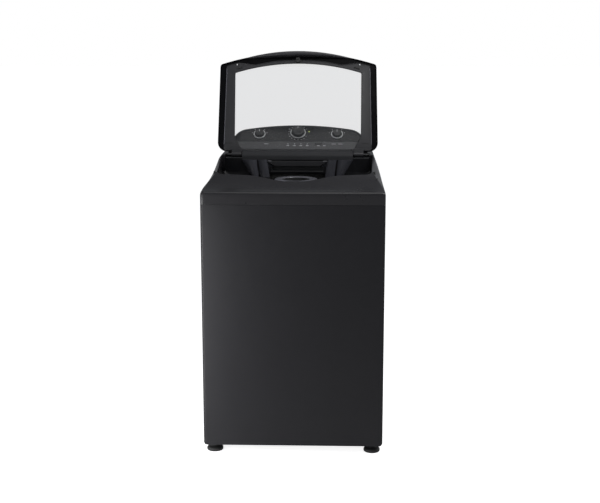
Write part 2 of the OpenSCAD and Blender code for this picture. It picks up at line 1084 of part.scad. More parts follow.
module basket() {
    color([0.74, 0.75, 0.77])
        difference() {
            rotate_extrude($fn = 128)
                polygon([[30, 272], [basket_r - 10, 272], [basket_r, 282], [basket_r, 770],
                    [basket_r - 1.8, 770],
                    [basket_r - 1.8, 283], [basket_r - 11, 274], [30, 274]]);
            for (ring_z = [320:60:740], a = [0:30:330])
                rotate([0, 0, a])
                    translate([basket_r - 4, 0, ring_z])
                        rotate([0, 90, 0])
                            cylinder(8, r = 4, $fn = 16);
        }
}

module balance_ring() {
    color([0.86, 0.87, 0.88])
        rotate_extrude($fn = 128)
            polygon([[207, 776], [212, 770], [basket_r + 6, 770], [basket_r + 8, 776], [basket_r + 8, 806],
                [basket_r + 2, 812], [214, 812], [207, 804]]);
}

module basket_hub() {
    arms = 3;
    color([0.70, 0.71, 0.72])
        difference() {
            union() {
                translate([0, 0, 250])
                    cylinder(22, r = 34);
                translate([0, 0, 258])
                    cylinder(14, r = 92);
                for (i = [0:arms - 1])
                    rotate([0, 0, i * 360 / arms])
                        block([80, -32, 260], [basket_r - 14, 32, 272]);
            }
            cylinder(400, r = shaft_r + 8);
        }
}

module spin_tube() {
    color([0.66, 0.67, 0.68])
        difference() {
            translate([0, 0, 160])
                cylinder(112, r = shaft_r + 8);
            cylinder(400, r = shaft_r + run_gap);
        }
}

module clutch_sleeve() {
    color([0.50, 0.51, 0.52])
        difference() {
            union() {
                tube(31, shaft_r + 8 + run_gap, 163, 5);
                tube(28, shaft_r + 8 + run_gap, 163, 12);
            }
            for (a = [0:45:315])
                rotate([0, 0, a])
                    block([27, -2, 161], [33, 2, 170]);
        }
}

// ---------- agitator ----------

module drive_shaft() {
    color([0.70, 0.71, 0.72])
        translate([0, 0, 134])
            cylinder(176, r = shaft_r);
}

module agitator_base() {
    vanes = 4;
    top = 560;
    color([0.10, 0.10, 0.11])
        difference() {
            union() {
                rotate_extrude()
                    polygon([[24, 282], [40, 286], [skirt_r - 14, 280], [skirt_r, 280], [skirt_r, 288],
                        [120, 300], [85, 322], [column_r + 6, 360], [column_r, 420], [column_r, top],
                        [column_r - 4, top], [column_r - 4, 330], [24, 310]]);
                tube(24, shaft_r, 280, 32);
                for (i = [0:vanes - 1])
                    rotate([0, 0, 45 + i * 360 / vanes])
                        along_vane();
            }
            cylinder(309, r = shaft_r);
        }
}

module along_vane() {
    rotate([90, 0, 0])
        linear_extrude(9, center = true)
            polygon([[column_r - 3, 350], [80, 326], [118, 302], [skirt_r - 4, 290], [skirt_r - 8, 340],
                [130, 370], [104, 470], [column_r + 16, 530], [column_r - 3, 545]]);
}

// Upper column with its screw-shaped flight
module agitator_auger() {
    low = 561;
    high = agitator_z - 12;
    flight_h = 300;
    color([0.10, 0.10, 0.11])
        union() {
            tube(column_r, column_r - 5, low, high - low);
            for (a = [0, 180])
                translate([0, 0, low + 8])
                    linear_extrude(flight_h, twist = -200, slices = 16, $fn = 8)
                        rotate([0, 0, a])
                            polygon([[column_r - 2, -5], [96, -5], [98, 0], [96, 5], [column_r - 2, 5]]);
        }
}

module softener_cup() {
    ring_r = 78.5;
    mouth_r = 50;
    floor_z = agitator_z - 95;
    color([0.33, 0.33, 0.35])
        rotate_extrude()
            polygon([[0, floor_z], [mouth_r - 4, floor_z], [mouth_r + 2, floor_z + 4],
                [column_r - 5.5, agitator_z - 14], [column_r - 5.5, agitator_z - 11.5],
                [ring_r - 3, agitator_z - 11.5], [ring_r, agitator_z - 8], [ring_r - 2, agitator_z - 2],
                [ring_r - 7, agitator_z], [mouth_r + 3, agitator_z], [mouth_r, agitator_z - 4],
                [mouth_r - 2, floor_z + 5], [0, floor_z + 3]]);
}

module rotor() {
    color([0.45, 0.46, 0.48])
        difference() {
            union() {
                tube(140, 22, 138, 5);
                tube(140, 125, 138, 44);
                tube(24, shaft_r, 134, 24);
            }
            cylinder(400, r = shaft_r);
            for (a = [0:30:330])
                rotate([0, 0, a])
                    translate([75, 0, 130])
                        cylinder(20, r = 13);
        }
}

// ---------- lid ----------

// Lid frame: x across, -y from the hinge to the front, +z the outer face
module lid_place() {
    translate([0, hinge_y, hinge_z])
        rotate([-90 - lid_lean, 0, 0])
            children();
}

module lid_plan(inset) {
    half = lid_front_half - inset;
    r = bow_r(lid_front_half, lid_bow) - inset;
    c = lid_corner - inset;
    polygon(concat(
        arc(lid_half - lid_corner, lid_back - lid_corner, c, 90, 0, 6),
        front_edge(half - 3, -lid_reach + inset, r, 20),
        arc(-lid_half + lid_corner, lid_back - lid_corner, c, 180, 90, 6)));
}

module window_plan(t) {
    r = bow_r(window_half, window_bow) + t;
    half = window_half + t;
    polygon(concat(
        [[half - 30, window_back + t], [half - 2, window_back - 46]],
        front_edge(half, window_front - t, r, 16),
        [[-half + 2, window_back - 46], [-half + 30, window_back + t]]));
}

module lid_layer(low, high) {
    translate([0, 0, low])
        linear_extrude(high - low)
            children();
}

// The front lip to lift the lid by: deepest in the middle, fading out to both sides
module lid_lip() {
    inner_bow = 7;
    outer_r = bow_r(lid_front_half, lid_bow);
    edge = -lid_reach + outer_r - sqrt(outer_r * outer_r - lip_half * lip_half);
    under = concat([[lip_half, lid_low + frame_t], [-lip_half, lid_low + frame_t], [-lip_half, 2]],
        [for (x = [-180:30:180]) [x, -lip_drop + 20 * x * x / lip_half / lip_half]], [[lip_half, 2]]);
    intersection() {
        lid_layer(-lip_drop - 1, lid_low + frame_t)
            intersection() {
                lid_plan(0);
                polygon(concat([[lip_half, -lid_reach - 5], [-lip_half, -lid_reach - 5]],
                    [for (x = [-lip_half:lip_half / 6:lip_half])
                        [x, edge - inner_bow * (1 - x * x / lip_half / lip_half)]]));
            }
        translate([0, -lid_reach + 40, 0])
            along(120)
                polygon(under);
    }
}

module lid_outer_shell() {
    seat = lid_low + frame_t;
    color([0.05, 0.05, 0.06])
        lid_place() {
            lid_lip();
            difference() {
                lid_layer(6, lid_top)
                    lid_plan(0);
                lid_layer(0, seat)
                    lid_plan(shell_rim);
                lid_layer(0, lid_top + 1)
                    window_plan(2);
                lid_layer(0, seat + glass_t)
                    window_plan(12);
                both_sides()
                    block([knuckle_x, lid_back - shell_rim - 1, 0],
                        [knuckle_x + knuckle_w, 0, knuckle_r + 0.5]);
            }
        }
}

// The inner frame ends short of the lip, which leaves a groove for the fingers
module frame_plan() {
    intersection() {
        lid_plan(shell_rim);
        polygon([[278, lid_back], [270, -lid_reach], [-270, -lid_reach], [-278, lid_back]]);
        union() {
            translate([0, finger_groove])
                lid_plan(0);
            translate([-lid_half, lid_back - 60])
                square([2 * lid_half, 60]);
        }
    }
}

module lid_inner_frame() {
    color([0.20, 0.20, 0.21])
        lid_place()
            difference() {
                union() {
                    difference() {
                        lid_layer(lid_low, lid_low + frame_t)
                            frame_plan();
                        lid_layer(0, 30)
                            window_plan(0);
                    }
                    both_sides() {
                        translate([knuckle_x + 0.5, 0, 0])
                            rotate([0, 90, 0])
                                cylinder(knuckle_w - 1, r = knuckle_r);
                        block([knuckle_x + 0.5, -24, 0], [knuckle_x + knuckle_w - 0.5, 0, knuckle_r]);
                    }
                }
                both_sides()
                    translate([knuckle_x - 5, 0, 0])
                        rotate([0, 90, 0])
                            cylinder(knuckle_w + 10, r = pin_r + run_gap);
            }
}

module lid_glass() {
    color([0.35, 0.38, 0.40, 0.4])
        lid_place()
            lid_layer(lid_low + frame_t, lid_low + frame_t + glass_t)
                window_plan(11.5);
}

module lid_strike() {
    color([0.06, 0.06, 0.07])
        lid_place()
            difference() {
                union() {
                    block([-14, strike_y - 7, lid_low - 3], [14, strike_y + 7, lid_low]);
                    block([-7, strike_y - 2.5, strike_tip_z], [7, strike_y + 2.5, lid_low - 2]);
                }
                translate([0, strike_y, strike_bore_z])
                    rotate([90, 0, 0])
                        cylinder(20, r = 5, center = true);
            }
}

cabinet_shell();
rear_panel();
base_frame();
corner_braces();
top_cover();
throat_liner();
hinge_cover();
hinge_pins();
lid_lock();
lid_bumpers();
dispenser_housing();
console_housing();
console_panel();
control_board();
knob_encoders();
indicator_lenses();
inlet_valve();
fill_duct();
suspension_rods();
suspension_springs();
foot_pads();
foot_studs();
foot_lock_nuts();
pump_housing();
pump_motor();
drain_pipe();
drain_outlet();
cord_gland();
cabinet_screws();
sump_bellows();
outer_tub();
tub_cover();
bearing_housing();
tub_bearings();
tub_seal();
stator();
basket();
balance_ring();
basket_hub();
spin_tube();
clutch_sleeve();
drive_shaft();
agitator_base();
agitator_auger();
rotor();
softener_cup();
lid_outer_shell();
lid_inner_frame();
lid_glass();
lid_strike();
lock_bolt();
dispenser_drawer();
start_button();
pump_impeller();
programme_dial_cap();
programme_dial_ring();
left_knob_cap();
left_knob_ring();
right_knob_cap();
right_knob_ring();
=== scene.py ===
import json
import math

import bmesh
import bpy
from mathutils import Matrix, Vector


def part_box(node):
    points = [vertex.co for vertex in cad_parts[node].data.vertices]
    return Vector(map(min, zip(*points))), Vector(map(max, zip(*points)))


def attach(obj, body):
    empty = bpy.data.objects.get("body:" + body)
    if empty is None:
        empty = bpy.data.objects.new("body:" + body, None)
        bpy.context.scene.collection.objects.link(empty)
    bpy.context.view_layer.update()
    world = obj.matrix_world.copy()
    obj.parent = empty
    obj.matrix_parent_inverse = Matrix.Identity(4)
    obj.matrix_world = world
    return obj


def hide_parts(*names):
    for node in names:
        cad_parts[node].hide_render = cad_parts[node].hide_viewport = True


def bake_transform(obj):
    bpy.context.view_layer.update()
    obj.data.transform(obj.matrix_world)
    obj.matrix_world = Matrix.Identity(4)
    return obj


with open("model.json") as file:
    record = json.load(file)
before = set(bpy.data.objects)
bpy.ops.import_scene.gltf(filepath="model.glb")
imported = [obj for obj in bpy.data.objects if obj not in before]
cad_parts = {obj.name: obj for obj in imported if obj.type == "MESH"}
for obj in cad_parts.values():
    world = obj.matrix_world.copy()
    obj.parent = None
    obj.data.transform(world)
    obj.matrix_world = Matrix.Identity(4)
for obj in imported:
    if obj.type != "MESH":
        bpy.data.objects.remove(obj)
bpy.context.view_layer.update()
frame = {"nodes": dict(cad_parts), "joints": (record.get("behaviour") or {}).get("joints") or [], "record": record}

# ---------------------------------------------------------------- driving sizes, in metres

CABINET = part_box("cabinet_shell")
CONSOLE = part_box("console_housing")
HALF_W = CABINET[1].x
FRONT = CABINET[0].y
REAR = CABINET[1].y
SEAM = CABINET[1].z
JOINTS = {joint["name"]: joint for joint in frame["joints"]}
HINGE = Vector(JOINTS["lid_hinge"]["pos_m"])
LEAN = math.radians(16.75)

CREASE_Z = 0.915
RIM_Y = -0.171
RIM_Z = 0.966
REAR_Z = 0.991
APRON_SAG = 0.009
FRONT_LEAN = 0.81
REAR_LEAN = 0.367
LEAN_RUN = 0.283
WELL_FRONT = 0.266
WELL_REAR = 0.278
WELL_CORNER_Y = -0.183
WELL_BOW = 0.011
SCOOP_HALF = 0.170
SCOOP_BOW = 0.033
WELL_BACK = 0.150
TROUGH_HALF = 0.268
TROUGH_Z = 0.978
COLLAR_Z = 0.925
THROAT_R = 0.232
THROAT_Z = 0.868
CONSOLE_Y = 0.205
FACE_FOOT = 1.000
FACE_SLOPE = math.radians(43.3)
ARCH_HALF = 0.185
ARCH_RISE = 0.013
SHOULDER_X = 0.196

CUP_RAISE = 0.005

WELD = 1e-6
BEVEL_ANGLE = 32
SKIN = 0.0025

LID_HALF = 0.2995
LID_FRONT_HALF = 0.294
LID_REACH = 0.3915
LID_BACK = 0.014
LID_BOW = 0.047
LID_CORNER = 0.033
LID_SEAT = 0.0125
LID_TOP = 0.022
LIP_HALF = 0.205
LIP_DROP = 0.018
LIP_DEPTH = 0.0155
WINDOW_HALF = 0.237
WINDOW_BACK = 0.0175
WINDOW_FRONT = 0.3493
WINDOW_BOW = 0.036


# ---------------------------------------------------------------- materials

class Look:
    """A procedural material under construction."""

    def __init__(self, name):
        self.material = bpy.data.materials.new(name)
        self.material.use_nodes = True
        self.tree = self.material.node_tree
        self.shader = self.tree.nodes["Principled BSDF"]
        self.place = self.tree.nodes.new("ShaderNodeTexCoord").outputs["Object"]

    def node(self, kind, **values):
        made = self.tree.nodes.new(kind)
        for key, value in values.items():
            setattr(made, key, value)
        return made

    def link(self, source, target):
        self.tree.links.new(source, target)

    def set(self, **values):
        for key, value in values.items():
            self.shader.inputs[key.replace("_", " ")].default_value = value

    def noise(self, scale, detail=3.0, stretch=(1, 1, 1)):
        mapping = self.node("ShaderNodeMapping")
        mapping.inputs["Scale"].default_value = stretch
        self.link(self.place, mapping.inputs["Vector"])
        made = self.node("ShaderNodeTexNoise")
        made.inputs["Scale"].default_value = scale
        made.inputs["Detail"].default_value = detail
        self.link(mapping.outputs["Vector"], made.inputs["Vector"])
        return made.outputs["Fac"]

    def ramp(self, source, low, high, start=0.3, end=0.7):
        """Maps a factor onto two greys or colours."""
        made = self.node("ShaderNodeValToRGB")
        for stop, place, value in zip(made.color_ramp.elements, (start, end), (low, high)):
            stop.position = place
            stop.color = value if hasattr(value, "__len__") else (value, value, value, 1)
        self.link(source, made.inputs["Fac"])
        return made.outputs["Color"]

    def bump(self, height, strength, distance=0.0004, under=None):
        made = self.node("ShaderNodeBump")
        made.inputs["Strength"].default_value = strength
        made.inputs["Distance"].default_value = distance
        self.link(height, made.inputs["Height"])
        if under is not None:
            self.link(under, made.inputs["Normal"])
        return made.outputs["Normal"]


def tint(colour, factor):
    return tuple(min(1.0, c * factor) for c in colour[:3]) + (1,)


def finish_look(name, colour, rough, spread=0.05, grain=0, grain_depth=0, mottle=0.08, wave=0, metal=0,
                stretch=(1, 1, 1), specular=0.5):
    """One moulded, painted or metal finish: mottled colour, uneven gloss, grain and waviness."""
    look = Look(name)
    look.set(Metallic=metal, Specular_IOR_Level=specular)
    patches = look.noise(9, 4, stretch)
    mottled = look.ramp(patches, tint(colour, 1 - mottle), tint(colour, 1 + mottle))
    look.link(mottled, look.shader.inputs["Base Color"])
    smears = look.noise(38, 5, stretch)
    look.link(look.ramp(smears, rough - spread, rough + spread), look.shader.inputs["Roughness"])
    normal = None
    if wave:
        normal = look.bump(look.noise(22, 1.5), wave, 0.002)
    if grain:
        normal = look.bump(look.noise(grain, 2, stretch), grain_depth, 0.0003, normal)
    if normal is not None:
        look.link(normal, look.shader.inputs["Normal"])
    return look.material


def glass_look():
    """Grey-tinted toughened glass, thin enough to be a plain see-through pane."""
    look = Look("tinted_glass")
    look.set(Metallic=0.0, Alpha=0.14, Specular_IOR_Level=0.5)
    streaks = look.noise(3, 3, (1, 6, 1))
    streaked = look.ramp(streaks, (0.075, 0.08, 0.085, 1), (0.10, 0.105, 0.11, 1))
    look.link(streaked, look.shader.inputs["Base Color"])
    look.link(look.ramp(look.noise(60, 3), 0.02, 0.05), look.shader.inputs["Roughness"])
    return look.material


def lamp_look():
    """A lit yellow-green indicator lens."""
    look = Look("lit_lens")
    look.set(Emission_Strength=0.6, Roughness=0.2)
    glow = look.ramp(look.noise(900, 1), (0.55, 0.75, 0.12, 1), (0.80, 0.95, 0.25, 1))
    look.link(glow, look.shader.inputs["Base Color"])
    look.link(glow, look.shader.inputs["Emission Color"])
    return look.material


def mark_look():
    """Pale grey pad-printed marks."""
    return finish_look("printed_marks", (0.42, 0.42, 0.43), 0.45, grain=700, grain_depth=0.08)


FINISHES = {
    "painted_steel": dict(colour=(0.0088, 0.0086, 0.0106), rough=0.46, spread=0.03, grain=900,
                          grain_depth=0.03, mottle=0.04, wave=0.015, specular=0.26),
    "gloss_cover": dict(colour=(0.013, 0.0125, 0.0145), rough=0.3, spread=0.03, mottle=0.04,
                        specular=0.4),
    "black_gloss": dict(colour=(0.0024, 0.0024, 0.003), rough=0.24, spread=0.04, mottle=0.15, wave=0.02,
                        specular=0.1),
    "lip_gloss": dict(colour=(0.026, 0.0255, 0.029), rough=0.36, spread=0.04, wave=0.02, specular=0.45),
    "dark_plastic": dict(colour=(0.013, 0.014, 0.016), rough=0.38, spread=0.06, grain=1300,
                         grain_depth=0.1, mottle=0.12),
    "grey_plastic": dict(colour=(0.019, 0.019, 0.0215), rough=0.42, spread=0.06, grain=1500,
                         grain_depth=0.12, mottle=0.1, specular=0.38),
    "bar_plastic": dict(colour=(0.027, 0.0275, 0.03), rough=0.5, spread=0.06, grain=1500, grain_depth=0.1,
                        specular=0.12),
    "well_plastic": dict(colour=(0.012, 0.013, 0.016), rough=0.22, mottle=0.12, wave=0.04),
    # Near-black: painted shade for the well's rear wall and the throat.
    "well_painted_shade": dict(colour=(0.005, 0.005, 0.006), rough=0.4, mottle=0.12, wave=0.04, specular=0.2),
    "light_plastic": dict(colour=(0.62, 0.62, 0.6), rough=0.42, spread=0.07, grain=900, grain_depth=0.1,
                          mottle=0.05),
    "panel_gloss": dict(colour=(0.01, 0.01, 0.011), rough=0.18, spread=0.03, specular=0.35),
    "panel_band": dict(colour=(0.058, 0.058, 0.062), rough=0.34, grain=1400, grain_depth=0.06,
                       mottle=0.06),
    "bright_trim": dict(colour=(0.78, 0.79, 0.8), rough=0.4, spread=0.06, grain=800, grain_depth=0.05,
                        mottle=0.06, metal=0.75),
    "cap_plastic": dict(colour=(0.03, 0.03, 0.03), rough=0.34, grain=1300, grain_depth=0.06),
    # Pale grey for the softener cup; on the lid frame's bead it is a painted highlight.
    "pale_plastic_and_painted_highlight": dict(colour=(0.1, 0.1, 0.115), rough=0.3, grain=1300, grain_depth=0.05),
    # Light grey of the drawer's rolled edge: a painted highlight.
    "drawer_edge_painted_highlight": dict(colour=(0.2, 0.2, 0.22), rough=0.3, grain=1300, grain_depth=0.05),
    # Lighter grey on the well's columns: a painted highlight on the dark throat plastic.
    "column_painted_highlight": dict(colour=(0.055, 0.056, 0.066), rough=0.24, spread=0.04, mottle=0.1, wave=0.02),
    # Black rubber; the basket's discs and the cup's inner layer also use it as painted shade.
    "rubber": dict(colour=(0.011, 0.011, 0.011), rough=0.62, spread=0.08, grain=1200, grain_depth=0.25,
                   mottle=0.15),
    "stainless": dict(colour=(0.56, 0.57, 0.58), rough=0.28, grain=160, grain_depth=0.02, mottle=0.05,
                      metal=1.0, stretch=(1, 1, 14)),
    "galvanised_steel": dict(colour=(0.4, 0.41, 0.42), rough=0.42, spread=0.08, grain=90, grain_depth=0.1,
                             mottle=0.1, metal=0.9),
    "cast_aluminium": dict(colour=(0.5, 0.51, 0.52), rough=0.5, spread=0.1, grain=420, grain_depth=0.35,
                           mottle=0.1, metal=0.95),
    "machined_steel": dict(colour=(0.48, 0.48, 0.5), rough=0.3, spread=0.08, grain=500, grain_depth=0.08,
                           mottle=0.1, metal=1.0, stretch=(1, 1, 10)),
    "dark_steel": dict(colour=(0.035, 0.035, 0.037), rough=0.38, spread=0.06, grain=500, grain_depth=0.08,
                       mottle=0.1, metal=0.6),
    "copper_winding": dict(colour=(0.42, 0.17, 0.07), rough=0.36, spread=0.08, grain=700,
                           grain_depth=0.45, mottle=0.25, metal=0.7, stretch=(1, 1, 8)),
    "circuit_board": dict(colour=(0.01, 0.09, 0.04), rough=0.35, spread=0.06, grain=500, grain_depth=0.3,
                          mottle=0.35),
}
LOOKS = {name: finish_look(name, **finish) for name, finish in FINISHES.items()}
LOOKS.update(tinted_glass=glass_look(), lens=lamp_look(), marks=mark_look())
SLOT_OF = {part["node"]: part["material_slot"] for part in frame["record"]["subparts"]}
BODIES = frame["record"]["behaviour"]["bodies"]
BODY_OF = {name: body for body, names in BODIES.items() for name in names}


# ---------------------------------------------------------------- mesh helpers

def make(name, mesh, look, node, body=None, bevel=0.0, segments=3, smooth=40, hides=True, thick=0.0,
         between=None):
    """Turns a bmesh into a finished piece that rides on the node's body and may stand for the node."""
    bmesh.ops.remove_doubles(mesh, verts=mesh.verts, dist=WELD)
    bmesh.ops.recalc_face_normals(mesh, faces=mesh.faces)
    data = bpy.data.meshes.new(name)
    mesh.to_mesh(data)
    mesh.free()
    data.polygons.foreach_set("use_smooth", [True] * len(data.polygons))
    data.set_sharp_from_angle(angle=math.radians(smooth))
    item = bpy.data.objects.new(name, data)
    bpy.context.scene.collection.objects.link(item)
    if thick:
        shell = item.modifiers.new("shell", "SOLIDIFY")
        shell.thickness = thick
        shell.offset = -1
    if bevel:
        edge = item.modifiers.new("edge", "BEVEL")
        edge.width = bevel
        edge.segments = segments
        edge.limit_method = "ANGLE"
        edge.angle_limit = math.radians(BEVEL_ANGLE)
        edge.harden_normals = True
    data.materials.append(LOOKS[look])
    if between:
        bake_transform(item)
    else:
        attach(item, body or BODY_OF[node])
    if hides:
        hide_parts(node)
    return item


def node_mesh(node):
    """A welded copy of the CAD node's mesh."""
    mesh = bmesh.new()
    mesh.from_mesh(frame["nodes"][node].data)
    bmesh.ops.remove_doubles(mesh, verts=mesh.verts, dist=2 * WELD)
    return mesh


def refined(node, look, bevel):
    """The CAD node's own shape with its flat faces joined and its sharp edges eased."""
    mesh = node_mesh(node)
    bmesh.ops.dissolve_limit(mesh, angle_limit=math.radians(0.4), verts=mesh.verts, edges=mesh.edges)
    return make(node + "_piece", mesh, look or SLOT_OF[node], node, bevel=bevel, segments=2)


def merge(mesh, part):
    """Adds one bmesh to another and frees it."""
    data = bpy.data.meshes.new("part")
    part.to_mesh(data)
    part.free()
    mesh.from_mesh(data)
    bpy.data.meshes.remove(data)


def side_name(side):
    return "left" if side < 0 else "right"


def turned(a, b, c, t):
    """Point at t of the curve from a to c that bends towards b."""
    return a.lerp(b, t).lerp(b.lerp(c, t), t)


def grid(rows, closed_rows=False, closed_columns=False, mesh=None):
    """A bmesh skin over rows of points; each row has the same number of points."""
    mesh = mesh or bmesh.new()
    verts = [[mesh.verts.new(p) for p in row] for row in rows]
    count = len(rows[0])
    row_pairs = range(len(rows) if closed_rows else len(rows) - 1)
    for i in row_pairs:
        a, b = verts[i], verts[(i + 1) % len(rows)]
        for j in range(count if closed_columns else count - 1):
            k = (j + 1) % count
            mesh.faces.new((a[j], a[k], b[k], b[j]))
    return mesh, verts


def cap(mesh, loop):
    mesh.faces.new(loop)


def lathe(profile, steps=96, place=None):
    """Revolves (radius, height) points about Z, closed where the profile meets the axis."""
    mesh = bmesh.new()
    rows = []
    for i in range(steps):
        a = 2 * math.pi * i / steps
        rows.append([Vector((r * math.cos(a), r * math.sin(a), z)) for r, z in profile])
    mesh, _ = grid(rows, closed_rows=True, mesh=mesh)
    bmesh.ops.remove_doubles(mesh, verts=mesh.verts, dist=WELD)
    if place is not None:
        mesh.transform(place)
    return mesh


def solid_ring(outer, inner, low, high):
    """A flat ring between two matched loops of (x, y) points."""
    rows = [[Vector((x, y, z)) for x, y in loop] for loop, z in
            ((outer, low), (outer, high), (inner, high), (inner, low))]
    return grid(rows, closed_rows=True, closed_columns=True)[0]


def plate(outline, low, high, mesh=None):
    """A flat solid over one outline of (x, y) points."""
    mesh = mesh or bmesh.new()
    rows = [[Vector((x, y, z)) for x, y in outline] for z in (low, high)]
    _, verts = grid(rows, closed_columns=True, mesh=mesh)
    cap(mesh, verts[0])
    cap(mesh, verts[1])
    return mesh


def block(low, high, mesh=None):
    outline = [(low[0], low[1]), (high[0], low[1]), (high[0], high[1]), (low[0], high[1])]
    return plate(outline, low[2], high[2], mesh)


def arc(cx, cy, r, start, end, steps):
    """Points of an arc; angles are in degrees."""
    turn = [math.radians(start + (end - start) * i / steps) for i in range(steps + 1)]
    return [(cx + r * math.cos(a), cy + r * math.sin(a)) for a in turn]


def bow_radius(half, bow):
    return (half * half + bow * bow) / (2 * bow)


def bowed(half, y, radius, steps=48):
    """Points from +half to -half on an arc whose middle is at y and whose centre is at y + radius."""
    reach = math.degrees(math.asin(half / radius))
    return arc(0, y + radius, radius, reach - 90, -reach - 90, steps)


def rounded(corners, radius, steps=6):
    """The outline through the corners with each one rounded off."""
    points = []
    count = len(corners)
    for i, corner in enumerate(corners):
        c = Vector(corner)
        a = (Vector(corners[i - 1]) - c)
        b = (Vector(corners[(i + 1) % count]) - c)
        r = min(radius, a.length * 0.45, b.length * 0.45)
        start, end = c + a.normalized() * r, c + b.normalized() * r
        points += [tuple(turned(start, c, end, k / steps)) for k in range(steps + 1)]
    return points


def reach_at(loop, centre, angle):
    """How far a ray from the centre runs before it last meets the loop, in double precision."""
    rx, ry = math.cos(angle), math.sin(angle)
    best = 0.0
    for i, p in enumerate(loop):
        q = loop[(i + 1) % len(loop)]
        ax, ay = p[0] - centre[0], p[1] - centre[1]
        ex, ey = q[0] - p[0], q[1] - p[1]
        across = rx * ey - ry * ex
        if abs(across) < 1e-15:
            continue
        far = (ax * ey - ay * ex) / across
        share = (ax * ry - ay * rx) / across
        if far > 0 and -1e-6 <= share <= 1 + 1e-6:
            best = max(best, far)
    if not best:
        raise ValueError(f"no edge of the loop lies at {math.degrees(angle):.3f} degrees")
    return best


def matched(loops, centre, extra=120):
    """The same number of points on each loop, in step by their angle round the centre."""
    angles = {2 * math.pi * i / extra for i in range(extra)}
    for loop in loops:
        for x, y in loop:
            angles.add(math.atan2(y - centre[1], x - centre[0]) % (2 * math.pi))
    kept = []
    for a in sorted(angles):
        if not kept or a - kept[-1] > 0.0008:
            kept.append(a)
    result = []
    for loop in loops:
        reaches = [reach_at(loop, centre, a) for a in kept]
        result.append([(centre[0] + math.cos(a) * r, centre[1] + math.sin(a) * r)
                       for a, r in zip(kept, reaches)])
    return result


def smooth_min(a, b, blend):
    h = max(0.0, min(1.0, 0.5 + 0.5 * (b - a) / blend))
    return b + (a - b) * h - blend * h * (1 - h)


# ---------------------------------------------------------------- top cover

def apron_height(y):
    """Side outline of the top cover: a slightly hollow apron, then a gentle rise to the rear."""
    run, rise = RIM_Y - FRONT, RIM_Z - CREASE_Z
    if y < RIM_Y:
        t = (y - FRONT) / run
        return CREASE_Z + rise * t - APRON_SAG * 4 * t * (1 - t)
    t = min(1.0, (y - RIM_Y) / (WELL_BACK - RIM_Y))
    return RIM_Z + (REAR_Z - RIM_Z) * t


def cover_height(x, y):
    t = max(0.0, min(1.0, (y - WELL_CORNER_Y) / LEAN_RUN))
    lean = FRONT_LEAN + (REAR_LEAN - FRONT_LEAN) * t * t * (3 - 2 * t)
    shoulder = CREASE_Z + (HALF_W - abs(x)) / lean
    rise = smooth_min(apron_height(y), REAR_Z, 0.004)
    return smooth_min(rise, shoulder, 0.007)


def well_edge(x):
    """Depth of the well's front edge at x: a shallow bow with a finger scoop in the middle."""
    scoop = 0.5 * (1 + math.cos(math.pi * x / SCOOP_HALF)) if abs(x) < SCOOP_HALF else 0.0
    return WELL_CORNER_Y - WELL_BOW * (1 - abs(x / WELL_FRONT) ** 1.5) - SCOOP_BOW * scoop


def footprint(inset):
    half, low, high = HALF_W - inset, FRONT + inset, REAR - inset
    r, s = max(0.001, 0.010 - inset), max(0.001, 0.004 - inset)
    return (arc(half - r, low + r, r, -90, 0, 8) + arc(half - s, high - s, s, 0, 90, 4)
            + arc(-half + s, high - s, s, 90, 180, 4) + arc(-half + r, low + r, r, 180, 270, 8))


def well_loop():
    """Plan of the well and of the hinge trough behind it."""
    step, corner_r = 0.0065, 0.018
    front = [(step * k, well_edge(step * k)) for k in range(38, -39, -1)]
    corner = arc(-WELL_FRONT + corner_r, WELL_CORNER_Y + corner_r, corner_r, 262, 182, 8)
    side = corner + [
        (-WELL_REAR, WELL_BACK - 0.020), (-WELL_REAR + 0.004, WELL_BACK - 0.006),
        (-TROUGH_HALF, WELL_BACK + 0.002), (-TROUGH_HALF, CONSOLE_Y - 0.003),
        (-TROUGH_HALF + 0.003, CONSOLE_Y)]
    return front + side + [(-x, y) for x, y in reversed(side)]


def top_cover():
    outer, inner = footprint(0), well_loop()
    loops = matched([outer, inner], (0, -0.02), 200)
    edge_r, rim_r = 0.0090, 0.003
    rows = []

    def row(points, drop=0.0, height=None):
        rows.append([Vector((p[0], p[1], (height if height is not None else cover_height(p[0], p[1])) - drop))
                     for p in points])

    row(loops[0], height=SEAM + 0.0012)
    row(loops[0], height=SEAM + 0.0018)
    row(loops[0], height=CREASE_Z - 0.020)
    spans = [(Vector(b) - Vector(a)).length for a, b in zip(*loops)]
    for k in range(7):
        turn = math.radians(15 * k)
        inset, drop = edge_r * (1 - math.cos(turn)), edge_r * (1 - math.sin(turn))
        row([Vector(a).lerp(Vector(b), inset / s) for a, b, s in zip(*loops, spans)], drop)
    for k in range(25):
        row([Vector(a).lerp(Vector(b), (edge_r + 0.001 + (s - edge_r - rim_r - 0.002) * k / 24) / s)
             for a, b, s in zip(*loops, spans)])
    for k in range(5):
        turn = math.radians(22.5 * k)
        inset, drop = rim_r * (1 - math.sin(turn)), rim_r * (1 - math.cos(turn))
        row([Vector(b).lerp(Vector(a), inset / s) for a, b, s in zip(*loops, spans)], drop)
    floor = [TROUGH_Z - 0.003 if p[1] > WELL_BACK + 0.001 else COLLAR_Z for p in loops[1]]
    rows.append([Vector((p[0], p[1], z)) for p, z in zip(loops[1], floor)])
    mesh, _ = grid(rows, closed_columns=True)
    make("top_cover_skin", mesh, "gloss_cover", "top_cover", smooth=38, thick=SKIN)
    rear = block((-TROUGH_HALF + 0.0005, WELL_BACK - 0.0005, TROUGH_Z - 0.0035),
                 (TROUGH_HALF - 0.0005, CONSOLE_Y - 0.001, TROUGH_Z))
    make("hinge_trough_floor", rear, "dark_plastic", "top_cover", bevel=0.0012, hides=False)
    skirt = solid_ring(footprint(0.0024), footprint(0.0054), SEAM - 0.013, SEAM + 0.004)
    make("cover_skirt", skirt, "dark_plastic", "top_cover", hides=False)
    cover_slot(0.2845, -0.205)


